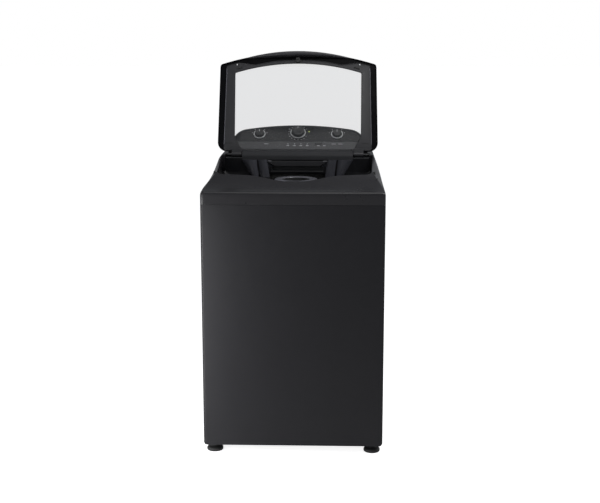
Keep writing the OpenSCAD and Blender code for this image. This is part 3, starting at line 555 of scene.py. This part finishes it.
def cover_slot(x, y):
    """A small dark slot in the right shoulder's facet."""
    outline = rounded([(-0.011, -0.003), (0.011, -0.003), (0.011, 0.003), (-0.011, 0.003)], 0.003, 5)
    slot = plate(outline, -0.001, 0.0006)
    spot = Vector((x, y, cover_height(x, y)))
    step = 0.001
    facet = Vector((cover_height(x - step, y) - cover_height(x + step, y),
                    cover_height(x, y - step) - cover_height(x, y + step), 2 * step)).normalized()
    along = Vector((0.25, 1, 0)).cross(facet).cross(facet).normalized()
    turn = Matrix((along, facet.cross(along), facet)).transposed().to_4x4()
    slot.transform(Matrix.Translation(spot) @ turn)
    make("cover_slot", slot, "rubber", "top_cover", hides=False)


def well_rear_wall():
    """Rear wall of the well, with the openings for the drawer and for the spout below it, coloured near-black as
    painted shade.
    """
    mesh = bmesh.new()
    half, top = WELL_REAR - 0.006, TROUGH_Z - 0.004
    gap, gap_top, spout, spout_top = 0.121, 0.970, 0.097, 0.944
    spans = ((-half, COLLAR_Z, -gap, top), (gap, COLLAR_Z, half, top), (-gap, gap_top, gap, top),
             (-gap, COLLAR_Z, -spout, spout_top), (spout, COLLAR_Z, gap, spout_top))
    for x0, z0, x1, z1 in spans:
        block((x0, WELL_BACK, z0), (x1, WELL_BACK + SKIN, z1), mesh)
    make("well_rear_wall", mesh, "well_painted_shade", "top_cover", hides=False)
    for side in (-1, 1):
        column("wide_" + side_name(side), [side * x for x in (0.208, 0.151, 0.144, 0.168)], 0.017)
        column("slim_" + side_name(side), [side * x for x in (0.1465, 0.112, 0.103, 0.1375)], 0.012)


def drawer_bezel():
    """Fills the corners of the drawer's opening down to the drawer's sloping sides."""
    for side in (-1, 1):
        shape = [(0.0853, 0.9440), (0.1215, 0.9440), (0.1215, 0.9702), (0.1196, 0.9702), (0.1193, 0.9675)]
        bezel = plate([(side * x, z) for x, z in shape], 0, 0.0035)
        bezel.transform(Matrix.Translation((0, WELL_BACK + 0.0035, 0)) @ Matrix.Rotation(math.pi / 2, 4, "X"))
        make("drawer_bezel_" + side_name(side), bezel, "well_plastic", "top_cover", bevel=0.0006, hides=False)


def column(label, reach, depth):
    """A tapered half-round column on the well's rear wall, coloured lighter grey as a painted highlight; reach is
    its x at the top, then at the foot.
    """
    top, foot, steps = 0.9705, 0.905, 16
    rows = []
    for z, near, far, deep in ((top, reach[0], reach[1], depth), (foot, reach[3], reach[2], depth * 0.35)):
        row = []
        for k in range(steps + 1):
            swell = math.sin(math.pi * k / steps) ** 0.7 if 0 < k < steps else 0.0
            row.append(Vector((near + (far - near) * k / steps, WELL_BACK + 0.0003 - deep * swell, z)))
        rows.append(row)
    mesh, verts = grid(rows)
    cap(mesh, verts[0])
    cap(mesh, verts[1])
    mesh.faces.new((verts[0][0], verts[0][-1], verts[1][-1], verts[1][0]))
    make("well_column_" + label, mesh, "column_painted_highlight", "top_cover", smooth=50, hides=False)


def drawer_edge():
    """The rolled edge along the drawer's front, which turns up at both ends, coloured light as a painted
    highlight.
    """
    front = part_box("dispenser_drawer")[0].y
    path = [(-0.108, 0.9660)] + [(-0.108 + 0.031 * math.sin(t), 0.9660 - 0.0155 * (1 - math.cos(t)))
                                 for t in (math.pi / 2 * k / 8 for k in range(1, 9))]
    path += [(-x, z) for x, z in reversed(path)]
    r = 0.0011
    rows = []
    for i, (x, z) in enumerate(path):
        before, after = Vector(path[max(0, i - 1)]), Vector(path[min(len(path) - 1, i + 1)])
        along = (after - before).normalized()
        across = Vector((-along.y, 0, along.x))
        middle = Vector((x, front + r, z))
        rows.append([middle + across * (r * math.cos(a)) + Vector((0, r * math.sin(a), 0))
                     for a in (2 * math.pi * k / 10 for k in range(10))])
    mesh, verts = grid(rows, closed_columns=True)
    cap(mesh, verts[0])
    cap(mesh, verts[-1])
    make("dispenser_drawer_edge", mesh, "drawer_edge_painted_highlight", "dispenser_drawer", smooth=50, hides=False)


def throat():
    """The funnel from the well's collar down to the tub, coloured near-black as painted shade."""
    upper = [(x, y) for x, y in well_loop() if y < WELL_BACK - 0.001]
    upper += [(-WELL_REAR + 0.014, WELL_BACK), (WELL_REAR - 0.014, WELL_BACK)]
    upper = sorted(upper, key=lambda q: math.atan2(q[1] + 0.01, q[0]))
    lower = arc(0, 0, THROAT_R, 0, 360, 120)[:-1]
    loops = matched([upper, lower], (0, -0.01), 144)
    rows = []
    for k in range(13):
        t = k / 12
        ease = t * t * (3 - 2 * t)
        z = (COLLAR_Z - 0.0006) + (THROAT_Z - COLLAR_Z) * t
        rows.append([Vector((*Vector(a).lerp(Vector(b), ease), z)) for a, b in zip(*loops)])
    tucked = [Vector((p.x * 1.008, p.y * 1.008, p.z + 0.006)) for p in rows[0]]
    mesh, _ = grid([tucked] + rows, closed_columns=True)
    make("throat_liner_skin", mesh, "well_painted_shade", "throat_liner", smooth=50, thick=SKIN)


# ---------------------------------------------------------------- console

def on_face(x, v):
    """Place of a point on the control face, v up the slope."""
    return (Matrix.Translation((x, CONSOLE_Y, FACE_FOOT)) @ Matrix.Rotation(FACE_SLOPE, 4, "X")
            @ Matrix.Translation((0, v, 0)))


def console_top(x):
    """Height of the console's arched top line."""
    half = CONSOLE[1].x
    arch = CONSOLE[1].z - x * x / (2 * bow_radius(ARCH_HALF, ARCH_RISE))
    u = min(1.0, max(0.0, (abs(x) - SHOULDER_X) / (half - SHOULDER_X)))
    return REAR_Z + (arch - REAR_Z) * math.sqrt(max(0.0, 1 - u ** 2.6))


def console_section(x):
    """Side outline of the console at x."""
    top = console_top(x)
    rise = max(0.0005, top - FACE_FOOT)
    r = min(0.009, rise * 0.35)
    brow = CONSOLE_Y + rise / math.tan(FACE_SLOPE)
    points = [Vector((CONSOLE_Y, REAR_Z - 0.003)), Vector((CONSOLE_Y, min(top, FACE_FOOT) - 0.002))]
    points += [Vector((CONSOLE_Y + 0.0006, min(top, FACE_FOOT - 0.0006)))]
    start = Vector((brow, top)) - Vector((math.cos(FACE_SLOPE), math.sin(FACE_SLOPE))) * r
    foot = points[-1]
    for k in range(1, 9):
        points.append(foot.lerp(start, k / 8))
    end = Vector((brow + r, top))
    crown = Vector((brow, top))
    points += [turned(start, crown, end, k / 6) for k in range(1, 7)]
    back_r = min(0.016, rise * 0.4)
    shoulder, corner, drop = Vector((REAR - back_r, top)), Vector((REAR, top)), Vector((REAR, top - back_r))
    points += [turned(shoulder, corner, drop, k / 6) for k in range(7)]
    points.append(Vector((REAR, REAR_Z - 0.003)))
    return [Vector((x, p.x, p.y)) for p in points]


def console_housing():
    half = CONSOLE[1].x
    stations = [half * math.sin(math.pi / 2 * k / 60) for k in range(-60, 61)]
    rows = [console_section(x) for x in stations]
    mesh, verts = grid(rows)
    cap(mesh, [row[0] for row in verts] + list(reversed([row[-1] for row in verts])))
    make("console_housing_skin", mesh, "gloss_cover", "console_housing", smooth=50)


def console_panel():
    """The gloss panel in the face and the matt band under it."""
    half = CONSOLE[1].x - 0.018

    def outline(low, high, shrink):
        limit = half - shrink
        lower = [(-limit + 0.004, low), (limit - 0.004, low)]
        upper = []
        for k in range(0, 41):
            x = limit * math.cos(math.pi * k / 40)
            top = (console_top(x) - FACE_FOOT) / math.sin(FACE_SLOPE) - 0.0085
            upper.append((x, max(low + 0.006, min(high, top))))
        return lower + upper

    upper = plate(outline(0.045, 0.2, 0.0), 0.0, 0.0009)
    upper.transform(on_face(0, 0))
    make("console_panel_gloss", upper, "panel_gloss", "console_panel", bevel=0.0004, segments=2)
    lower = plate(outline(0.006, 0.0435, 0.001), 0.0, 0.0008)
    lower.transform(on_face(0, 0))
    make("console_panel_band", lower, "panel_band", "console_panel", bevel=0.0004, segments=2, hides=False)


def lamp_caps():
    """Domed lenses just proud of the panel: the one beside the dial is lit, the row under it is not."""
    normal = Vector((0, -math.sin(FACE_SLOPE), math.cos(FACE_SLOPE)))
    foot = Vector((0, CONSOLE_Y, FACE_FOOT))
    up_face = Vector((0, math.cos(FACE_SLOPE), math.sin(FACE_SLOPE)))
    for label, look, lit in (("lit", "lens", True), ("unlit", "marks", False)):
        mesh = node_mesh("indicator_lenses")
        others = [v for v in mesh.verts if ((v.co - foot).dot(up_face) > 0.06) != lit]
        bmesh.ops.delete(mesh, geom=others, context="VERTS")
        for vert in mesh.verts:
            if (vert.co - foot).dot(normal) > -0.003:
                vert.co += normal * (0.0016 if lit else 0.0012)
        make("indicator_lens_" + label, mesh, look, "indicator_lenses", smooth=30)


def knob_place(node):
    return Matrix.Translation(JOINTS[node + "_turn"]["pos_m"]) @ Matrix.Rotation(FACE_SLOPE, 4, "X")


def knob(node, radius, height):
    """A turned cap with a fluted skirt, a domed face and a pointer line, and its bright ring."""
    place = knob_place(node)
    r = radius - 0.003
    mesh = bmesh.new()
    profile = [(0.0, -0.012), (0.003, -0.012), (0.003, 0.0012), (r, 0.0012), (r, 0.0050),
               (r - 0.0012, 0.0058), (r - 0.0026, height - 0.0032), (r - 0.0036, height - 0.0012),
               (r - 0.0056, height - 0.0002), (r - 0.0080, height), (r - 0.0100, height - 0.0007),
               (0.0, height - 0.0010)]
    fluted, flutes, steps = (5, 6), 45, 180
    rows = []
    for i in range(steps):
        a = 2 * math.pi * i / steps
        flute = 0.00035 * math.cos(a * flutes)
        reaches = [p + (flute if k in fluted else 0) for k, (p, _) in enumerate(profile)]
        rows.append([Vector((p * math.cos(a), p * math.sin(a), z)) for p, (_, z) in zip(reaches, profile)])
    mesh, _ = grid(rows, closed_rows=True, mesh=mesh)
    mesh.transform(place)
    make(node + "_cap_turned", mesh, "cap_plastic", node + "_cap", smooth=28)
    pointer = plate(rounded([(-0.0008, r - 0.0165), (0.0008, r - 0.0165), (0.0008, r - 0.0070),
                             (-0.0008, r - 0.0070)], 0.0007, 4), height - 0.0012, height + 0.0001)
    pointer.transform(place)
    make(node + "_pointer", pointer, "bright_trim", node + "_cap", hides=False)
    ring = lathe([(r + 0.0002, 0.0006), (radius - 0.0004, 0.0006), (radius, 0.0010), (radius, 0.0030),
                  (radius - 0.0005, 0.0042), (radius - 0.0014, 0.0049), (r + 0.0002, 0.0049),
                  (r + 0.0002, 0.0006)], 144, place)
    make(node + "_ring_turned", ring, "bright_trim", node + "_ring", smooth=35)


KNOBS = (("programme_dial", 0.029, 0.018), ("left_knob", 0.0225, 0.015), ("right_knob", 0.0225, 0.015))


def console_marks():
    """Printed ticks round the knobs and in the row under them, without any lettering."""
    mesh = bmesh.new()

    def dash(x, v, long, wide, turn=0.0):
        bar = block((-long / 2, -wide / 2, 0.0008), (long / 2, wide / 2, 0.00105))
        bar.transform(on_face(x, v) @ Matrix.Rotation(turn, 4, "Z"))
        merge(mesh, bar)

    for (node, radius, _), count in zip(KNOBS, (16, 5, 5)):
        x, _, z = JOINTS[node + "_turn"]["pos_m"]
        knob_v = (z - FACE_FOOT) / math.sin(FACE_SLOPE)
        spread = 300 if count > 8 else 150
        for k in range(count):
            a = math.radians(90 - spread / 2 + spread * k / (count - 1) + (90 if count > 8 else 0))
            reach = radius + 0.0065
            if abs(math.sin(a)) > 0.8 and math.sin(a) > 0:
                continue
            dash(x + reach * math.cos(a), knob_v + reach * math.sin(a), 0.0045, 0.0022, a)
    for x in (-0.038, -0.013, 0.011, 0.035, 0.077, 0.100):
        dash(x, 0.0225, 0.010, 0.0034)
    for x in (-0.120, 0.135, 0.160):
        dash(x, 0.031, 0.016, 0.0026)
    make("console_marks", mesh, "marks", "console_panel", hides=False)


# ---------------------------------------------------------------- lid

LID_PLACE = Matrix.Translation(HINGE) @ Matrix.Rotation(-math.pi / 2 - LEAN, 4, "X")


def lid_loop(inset=0.0):
    """Outline of the lid in its own plane, hinge towards +Y."""
    r = bow_radius(LID_FRONT_HALF, LID_BOW) - inset
    c = LID_CORNER - inset
    half = LID_FRONT_HALF - inset - 0.006
    front = bowed(half, -LID_REACH + inset, r, 60)
    end = front[-1]
    corner = [(-LID_FRONT_HALF + inset + 0.0015, end[1] + 0.004),
              (-LID_FRONT_HALF + inset - 0.0002, end[1] + 0.012)]
    rear = arc(-LID_HALF + LID_CORNER, -LID_BACK - LID_CORNER, c, 180, 90, 10)
    left = corner + rear
    return front + left + [(-x, y) for x, y in reversed(left)]


def window_loop(t=0.0):
    r = bow_radius(WINDOW_HALF, WINDOW_BOW) + t
    half = WINDOW_HALF + t
    front = bowed(half - 0.0025, -WINDOW_FRONT - t, r, 48)
    end = front[-1]
    back = min(t, 0.003)
    left = [(-half, end[1] + 0.003), (-half + 0.001, -WINDOW_BACK - 0.056),
            (-half + 0.0035, -WINDOW_BACK - 0.048), (-half + 0.0270, -WINDOW_BACK - 0.004 + back),
            (-half + 0.033, -WINDOW_BACK + back)]
    return front + left + [(-x, y) for x, y in reversed(left)]


LID_CENTRE = (0, -0.19)


def lid_ring(steps):
    """A closed ring in the lid's place through loops, each at its own height."""
    loops = matched([loop for loop, _ in steps], LID_CENTRE, 160)
    rows = [[Vector((x, y, z)) for x, y in loop] for loop, (_, z) in zip(loops, steps)]
    mesh, _ = grid(rows, closed_rows=True, closed_columns=True)
    mesh.transform(LID_PLACE)
    return mesh


def lid_outer_shell():
    """The black outer shell: side wings, a rolled rim and the border round the glass."""
    rim = ((0.0030, LID_SEAT), (0.0028, 0.0068), (0.0022, 0.0061), (0.0010, 0.0061), (0.0002, 0.0070),
           (0.0, 0.0095), (0.0, 0.0160), (0.0008, 0.0190), (0.0026, 0.0210), (0.0055, LID_TOP))
    border = ((0.0035, LID_TOP), (0.0022, LID_TOP - 0.0010), (0.0020, 0.0166), (0.0118, 0.0166),
              (0.0118, LID_SEAT))
    mesh = lid_ring([(lid_loop(inset), z) for inset, z in rim] + [(window_loop(t), z) for t, z in border])
    make("lid_outer_shell_rim", mesh, "black_gloss", "lid_outer_shell", smooth=40)


def lip_edge(x, inner):
    """Front (or inner) line of the lip at x."""
    r = bow_radius(LID_FRONT_HALF, LID_BOW)
    outer = -LID_REACH + r - math.sqrt(r * r - x * x)
    if not inner:
        return outer
    share = 1 - (x / LIP_HALF) ** 2
    return outer + LIP_DEPTH * max(0.0, share) ** 0.8


def lid_lip():
    """The lip to lift the lid by, deepest in the middle and fading out to both sides."""
    rows = []
    count = 64
    for k in range(count + 1):
        x = LIP_HALF * math.sin(math.pi / 2 * (2 * k / count - 1)) * 0.995
        share = max(0.0, 1 - (x / LIP_HALF) ** 2)
        front, back = lip_edge(x, False) + 0.0004, lip_edge(x, True)
        low = LID_SEAT - 0.0004 - (LID_SEAT + LIP_DROP) * share ** 0.75
        deep = max(0.0008, back - front)
        r = min(0.0045, deep * 0.45, (LID_SEAT - low) * 0.45 + 0.0002)
        section = [(front, LID_SEAT), (front, low + r), (front + r * 0.3, low + r * 0.3), (front + r, low),
                   (back - r, low), (back - r * 0.3, low + r * 0.3), (back, low + r), (back, LID_SEAT)]
        rows.append([Vector((x, y, z)) for y, z in section])
    mesh, verts = grid(rows, closed_columns=True)
    cap(mesh, verts[0])
    cap(mesh, verts[-1])
    mesh.transform(LID_PLACE)
    make("lid_front_lip", mesh, "lip_gloss", "lid_outer_shell", smooth=45, hides=False)


def groove_line(x):
    """Front edge of the inner frame: a wide groove in the middle that swings in towards both sides."""
    outer = lip_edge(x, False)
    u = abs(x)
    t = min(1.0, max(0.0, (u - 0.085) / 0.075))
    swing = t * t * (3 - 2 * t)
    wide = 0.0285 + 0.004 * swing
    fade = min(1.0, max(0.0, (u - 0.165) / 0.060))
    narrow = 0.012
    return outer + wide * (1 - fade) + narrow * fade


def frame_loop(inset=0.0):
    half_rear, half_front = 0.2775 - inset, 0.2705 - inset
    front = [(x, groove_line(x) + inset) for x in
             [(half_front - 0.004) * math.cos(math.pi * k / 72) for k in range(73)]]
    end = front[-1]
    left = [(-half_front, end[1] + 0.004), (-half_rear, -LID_BACK - 0.010 - inset),
            (-half_rear + 0.008, -LID_BACK - inset)]
    return front + left + [(-x, y) for x, y in reversed(left)]


def lid_inner_frame():
    """The grey inner frame round the window: beaded outer edge, shallow channel, turned-in window edge."""
    bead = ((0.0, LID_SEAT), (0.0, 0.0083), (0.0006, 0.0077), (0.0018, 0.0077), (0.0026, 0.0083),
            (0.0032, 0.0092))
    edge = ((0.0060, 0.0088), (0.0016, 0.0079), (0.0006, 0.0081), (0.0, 0.0090), (0.0, LID_SEAT))
    mesh = lid_ring([(frame_loop(inset), z) for inset, z in bead] + [(window_loop(t), z) for t, z in edge])
    make("lid_inner_frame_ring", mesh, "grey_plastic", "lid_inner_frame", smooth=45)
    for side in (-1, 1):
        frame_painted_highlight(side)
        knuckle(side)
        joint_line(side)
        corner_screw(side)


def frame_painted_highlight(side):
    """A light strip on the inner frame's outer bead: a painted highlight along that edge."""
    width = 0.0024
    outline = [(0.2768, -0.040), (0.2703, -0.330), (0.2703 - width, -0.330), (0.2768 - width, -0.040)]
    bead = plate([(side * x, y) for x, y in outline], 0.0071, 0.0085)
    bead.transform(LID_PLACE)
    make("lid_frame_bead_" + side_name(side), bead, "pale_plastic_and_painted_highlight", "lid_inner_frame", bevel=0.0005,
         hides=False)


def knuckle(side):
    """Hinge barrel with its arm, and the ribs between them."""
    name = side_name(side)
    centre, half, bore = side * 0.227, 0.0193, 0.0041
    barrel = lathe([(bore, -half), (0.0080, -half), (0.0090, 0.001 - half), (0.0090, half - 0.001),
                    (0.0080, half), (bore, half), (bore, -half)], 64)
    barrel.transform(LID_PLACE @ Matrix.Translation((centre, 0, 0)) @ Matrix.Rotation(math.pi / 2, 4, "Y"))
    make(f"lid_knuckle_{name}", barrel, "grey_plastic", "lid_inner_frame", hides=False)
    arm = block((centre - half, -0.024, 0.0005), (centre + half, -0.006, 0.0085))
    arm.transform(LID_PLACE)
    make(f"lid_knuckle_arm_{name}", arm, "grey_plastic", "lid_inner_frame", bevel=0.0015, hides=False)


def joint_line(side):
    """The black slot across each side bar, just above the hinge."""
    name = side_name(side)
    slot = block((side * 0.258 - 0.016, -0.0460, 0.0074), (side * 0.258 + 0.011, -0.0440, 0.0098))
    slot.transform(LID_PLACE)
    make(f"lid_joint_slot_{name}", slot, "rubber", "lid_inner_frame", hides=False)


def corner_screw(side):
    """A small screw in each front corner of the inner frame and the bumper pad under it."""
    name = side_name(side)
    spot = Matrix.Translation((side * 0.231, -0.3445, 0.0074))
    head = lathe([(0, -0.0012), (0.0018, -0.0012), (0.0026, -0.0004), (0.0026, 0.0016), (0, 0.0016)], 32)
    head.transform(LID_PLACE @ spot)
    make(f"lid_frame_screw_{name}", head, "bright_trim", "lid_inner_frame", hides=False)
    outline = rounded([(-0.011, -0.0025), (0.011, -0.0025), (0.011, 0.0025), (-0.011, 0.0025)], 0.0024, 4)
    pad = plate(outline, -0.002, 0.0018)
    spot = Matrix.Translation((side * 0.221, -0.3330, 0.0074))
    pad.transform(LID_PLACE @ spot @ Matrix.Rotation(side * 0.24, 4, "Z"))
    make(f"lid_bumper_pad_{name}", pad, "rubber", "lid_inner_frame", bevel=0.0008, hides=False)


def lid_glass():
    wide, slim = matched([window_loop(0.0112), window_loop(0.0106)], LID_CENTRE, 120)
    low, high = LID_SEAT + 0.0001, LID_SEAT + 0.0040
    centre = Vector(LID_CENTRE)

    def ring(loop, share, z):
        return [Vector((*centre.lerp(Vector(q), share), z)) for q in loop]

    shares = (0.02, 0.35, 0.7, 1.0)
    rows = [ring(slim, share, low) for share in shares]
    rows += [ring(wide, 1.0, low + 0.0006), ring(wide, 1.0, high - 0.0006)]
    rows += [ring(slim, share, high) for share in reversed(shares)]
    mesh, verts = grid(rows, closed_columns=True)
    for loop, z in ((verts[0], low), (verts[-1], high)):
        hub = mesh.verts.new((centre.x, centre.y, z))
        for k, vert in enumerate(loop):
            mesh.faces.new((vert, loop[(k + 1) % len(loop)], hub))
    mesh.transform(LID_PLACE)
    make("lid_glass_pane", mesh, "tinted_glass", "lid_glass", smooth=30)


def hinge_bar():
    """The long bar between the knuckles, rounded on top so that the lid's rear edge clears it."""
    low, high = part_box("hinge_cover")
    r = 0.0144
    top = [(HINGE.y + r * math.cos(a), HINGE.z + r * math.sin(a))
           for a in (math.radians(10 + 130 * k / 16) for k in range(17))]
    front = WELL_BACK - 0.0008
    foot = [(front, 0.970), (WELL_BACK + 0.0012, 0.970), (WELL_BACK + 0.0012, TROUGH_Z + 0.0003),
            (HINGE.y + r, TROUGH_Z + 0.0003)]
    section = foot + top + [(0.1535, 0.9905), (0.1500, 0.986), (front, 0.982)]
    rows = [[Vector((x, y, z)) for y, z in section] for x in (low.x, high.x)]
    mesh, verts = grid(rows, closed_columns=True)
    cap(mesh, verts[0])
    cap(mesh, verts[1])
    make("hinge_bar", mesh, "bar_plastic", "hinge_cover", bevel=0.0010, smooth=35)


# ---------------------------------------------------------------- bumpers, springs, basket and cup

def lid_bumpers():
    """Low rubber domes on the cover's shoulders for the lid to rest on."""
    low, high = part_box("lid_bumpers")
    r, top = 0.004, low.z + 0.0118
    profile = [(0, low.z), (r, low.z), (r, top - 0.0030), (r - 0.0008, top - 0.0012),
               (r - 0.0020, top - 0.0003), (0, top)]
    for side, x in (("left", low.x + r), ("right", high.x - r)):
        dome = lathe(profile, 48, Matrix.Translation((x, (low.y + high.y) / 2, 0)))
        make("lid_bumper_" + side, dome, "rubber", "lid_bumpers", smooth=50)


def coil_springs():
    """Four coil springs between the rods' feet and the tub's lugs."""
    low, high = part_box("suspension_springs")
    outer, wire, turns, sides = 0.0168, 0.0019, 7, 8
    middle = outer - wire
    mesh = bmesh.new()
    steps = turns * 20
    for x in (low.x + 0.017, high.x - 0.017):
        for y in (low.y + 0.017, high.y - 0.017):
            rows = []
            for i in range(steps + 1):
                a = 2 * math.pi * turns * i / steps
                rise = low.z + wire + (high.z - low.z - 2 * wire) * i / steps
                out = Vector((math.cos(a), math.sin(a), 0))
                centre = Vector((x, y, rise)) + out * middle
                rows.append([centre + out * (wire * math.cos(q)) + Vector((0, 0, wire * math.sin(q)))
                             for q in (2 * math.pi * k / sides for k in range(sides))])
            _, verts = grid(rows, closed_columns=True, mesh=mesh)
            cap(mesh, verts[0])
            cap(mesh, verts[-1])
    make("suspension_coils", mesh, "machined_steel", "suspension_springs", smooth=60,
         between=("cabinet", "tub", (0, 0, low.z), (0, 0, high.z)))


def bellows():
    """The sump's rubber bellows."""
    low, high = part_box("sump_bellows")
    make("sump_bellows_folds", node_mesh("sump_bellows"), "rubber", "sump_bellows", smooth=50,
         between=("cabinet", "tub", (0, 0, low.z), (0, 0, high.z)))


def basket_hole_painted_shade():
    """Staggered rows of thin black discs round the basket's inner wall: painted shade standing for the drain
    holes.
    """
    wall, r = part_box("basket")[1].x - 0.0021, 0.0023
    outline = [(r * math.cos(q), r * math.sin(q)) for q in (2 * math.pi * i / 8 for i in range(8))]
    lowest, pitch, rows, around = 0.320, 0.040, 11, 54
    mesh = bmesh.new()
    for row in range(rows):
        z = lowest + pitch * row
        for k in range(around):
            hole_shade = plate(outline, 0, 0.0002)
            hole_shade.transform(Matrix.Rotation(2 * math.pi * (k + 0.5 * (row % 2)) / around, 4, "Z")
                           @ Matrix.Translation((wall, 0, z)) @ Matrix.Rotation(-math.pi / 2, 4, "Y"))
            merge(mesh, hole_shade)
    # The discs take the black rubber look as painted shade.
    make("basket_hole_painted_shade", mesh, "rubber", "basket", hides=False)


def softener_cup():
    """The softener cup with its wide rolled rim, and a black layer inside it as painted shade in its mouth."""
    low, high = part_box("softener_cup")
    top, floor = high.z + CUP_RAISE, low.z
    ring, mouth = 0.0785, 0.050
    outside = [(0, floor), (mouth - 0.004, floor), (mouth + 0.002, floor + 0.004), (0.0545, top - 0.014),
               (0.0545, top - 0.0116)]
    rim = [(ring - 0.003, top - 0.0116), (ring - 0.0008, top - 0.0105), (ring, top - 0.008),
           (ring - 0.0006, top - 0.0048), (ring - 0.0022, top - 0.0022), (ring - 0.0050, top - 0.0006),
           (ring - 0.0085, top), (mouth + 0.006, top - 0.0003), (mouth + 0.002, top - 0.0012),
           (mouth + 0.0003, top - 0.0035)]
    inside = [(mouth, top - 0.007), (mouth - 0.002, floor + 0.005), (0, floor + 0.003)]
    make("softener_cup_turned", lathe(outside + rim + inside, 128), "pale_plastic_and_painted_highlight", "softener_cup", smooth=35)
    # A black layer just inside the cup: painted shade for the hollow.
    mouth_shade = lathe([(mouth - 0.0004, top - 0.0030), (mouth - 0.0024, floor + 0.0052), (0, floor + 0.0034),
                    (0, floor + 0.0042), (mouth - 0.0032, floor + 0.0060), (mouth - 0.0012, top - 0.0030),
                    (mouth - 0.0004, top - 0.0030)], 96)
    make("softener_cup_painted_shade", mouth_shade, "rubber", "softener_cup", smooth=35, hides=False)


REPLACED = {"hinge_cover", "top_cover", "throat_liner", "console_housing", "console_panel",
            "lid_outer_shell", "lid_inner_frame", "lid_glass", "softener_cup", "hinge_pins",
            "indicator_lenses", "lid_bumpers", "suspension_springs", "sump_bellows"}
REPLACED |= {node + part for node, _, _ in KNOBS for part in ("_cap", "_ring")}
DARKER = {"lid_strike": "rubber"}
WIDE_BEVEL = {"cabinet_shell": 0.0009, "dispenser_drawer": 0.0016, "rear_panel": 0.0008}

top_cover()
well_rear_wall()
drawer_bezel()
drawer_edge()
throat()
console_housing()
console_panel()
console_marks()
lamp_caps()
for knob_node, knob_radius, knob_height in KNOBS:
    knob(knob_node, knob_radius, knob_height)
lid_outer_shell()
lid_lip()
lid_inner_frame()
lid_glass()
hinge_bar()
softener_cup()
refined("hinge_pins", "dark_steel", 0.0005)
lid_bumpers()
coil_springs()
bellows()
basket_hole_painted_shade()
for cad_node in sorted(set(frame["nodes"]) - REPLACED):
    refined(cad_node, DARKER.get(cad_node), WIDE_BEVEL.get(cad_node, 0.0005))


# ---------------------------------------------------------------- stage, light and camera

def stage_floor():
    mesh = bmesh.new()
    bmesh.ops.create_grid(mesh, x_segments=1, y_segments=1, size=40)
    data = bpy.data.meshes.new("floor")
    mesh.to_mesh(data)
    mesh.free()
    floor = bpy.data.objects.new("floor", data)
    bpy.context.scene.collection.objects.link(floor)
    look = Look("pale_floor")
    look.set(Roughness=0.9, Specular_IOR_Level=0.05, Emission_Color=(1, 1, 1, 1))
    glow = look.node("ShaderNodeMath", operation="MULTIPLY_ADD")
    glow.inputs[1].default_value = 0.67
    glow.inputs[2].default_value = 0.19
    look.link(look.node("ShaderNodeLightPath").outputs["Is Camera Ray"], glow.inputs[0])
    look.link(glow.outputs[0], look.shader.inputs["Emission Strength"])
    look.link(look.ramp(look.noise(2, 2), 0.88, 0.90), look.shader.inputs["Base Color"])
    data.materials.append(look.material)


def soft_light(name, place, target, size, power):
    lamp = bpy.data.lights.new(name, "AREA")
    lamp.shape = "RECTANGLE"
    lamp.size, lamp.size_y = size
    lamp.energy = power
    item = bpy.data.objects.new(name, lamp)
    item.location = place
    item.rotation_euler = (Vector(target) - Vector(place)).to_track_quat("-Z", "Y").to_euler()
    item.visible_camera = False
    bpy.context.scene.collection.objects.link(item)


def studio():
    """White backdrop for the camera, and a dimmer room with soft panels for everything else."""
    stage_floor()
    world = bpy.data.worlds.new("studio")
    bpy.context.scene.world = world
    world.use_nodes = True
    tree = world.node_tree
    room = tree.nodes["Background"]
    room.inputs["Color"].default_value = (0.92, 0.95, 1.0, 1)
    room.inputs["Strength"].default_value = 0.20
    seen = tree.nodes.new("ShaderNodeBackground")
    seen.inputs["Color"].default_value = (1, 1, 1, 1)
    rays = tree.nodes.new("ShaderNodeLightPath")
    mix = tree.nodes.new("ShaderNodeMixShader")
    tree.links.new(rays.outputs["Is Camera Ray"], mix.inputs[0])
    tree.links.new(room.outputs[0], mix.inputs[1])
    tree.links.new(seen.outputs[0], mix.inputs[2])
    tree.links.new(mix.outputs[0], tree.nodes["World Output"].inputs["Surface"])
    soft_light("key", (-1.7, -2.6, 1.5), (-0.2, 0, 0.6), (1.2, 2.2), 13)
    soft_light("side_strip", (-0.55, -0.62, 0.44), (-0.30, -0.32, 0.40), (0.16, 0.84), 4.6)
    soft_light("well_light", (0.75, -0.5, 1.75), (0.12, 0.15, 0.94), (0.35, 0.5), 5.0)
    soft_light("overhead", (0.4, -0.6, 3.2), (0, 0, 0.9), (2.4, 2.4), 26)
    soft_light("rear_left", (-2.6, 1.6, 1.6), (0, 0, 0.9), (1.2, 2.0), 18)
    soft_light("rear_right", (2.6, 1.6, 1.6), (0, 0, 0.9), (1.2, 2.0), 18)


def camera():
    data = bpy.data.cameras.new("camera")
    data.sensor_width = 36
    data.lens = 68.98
    item = bpy.data.objects.new("camera", data)
    item.location = (0.1411, -4.107, 1.4504)
    item.rotation_euler = (math.radians(90 - 10.99), 0, math.radians(1.763))
    bpy.context.scene.collection.objects.link(item)
    bpy.context.scene.camera = item


studio()
camera()
bpy.context.scene.view_settings.view_transform = "Standard"
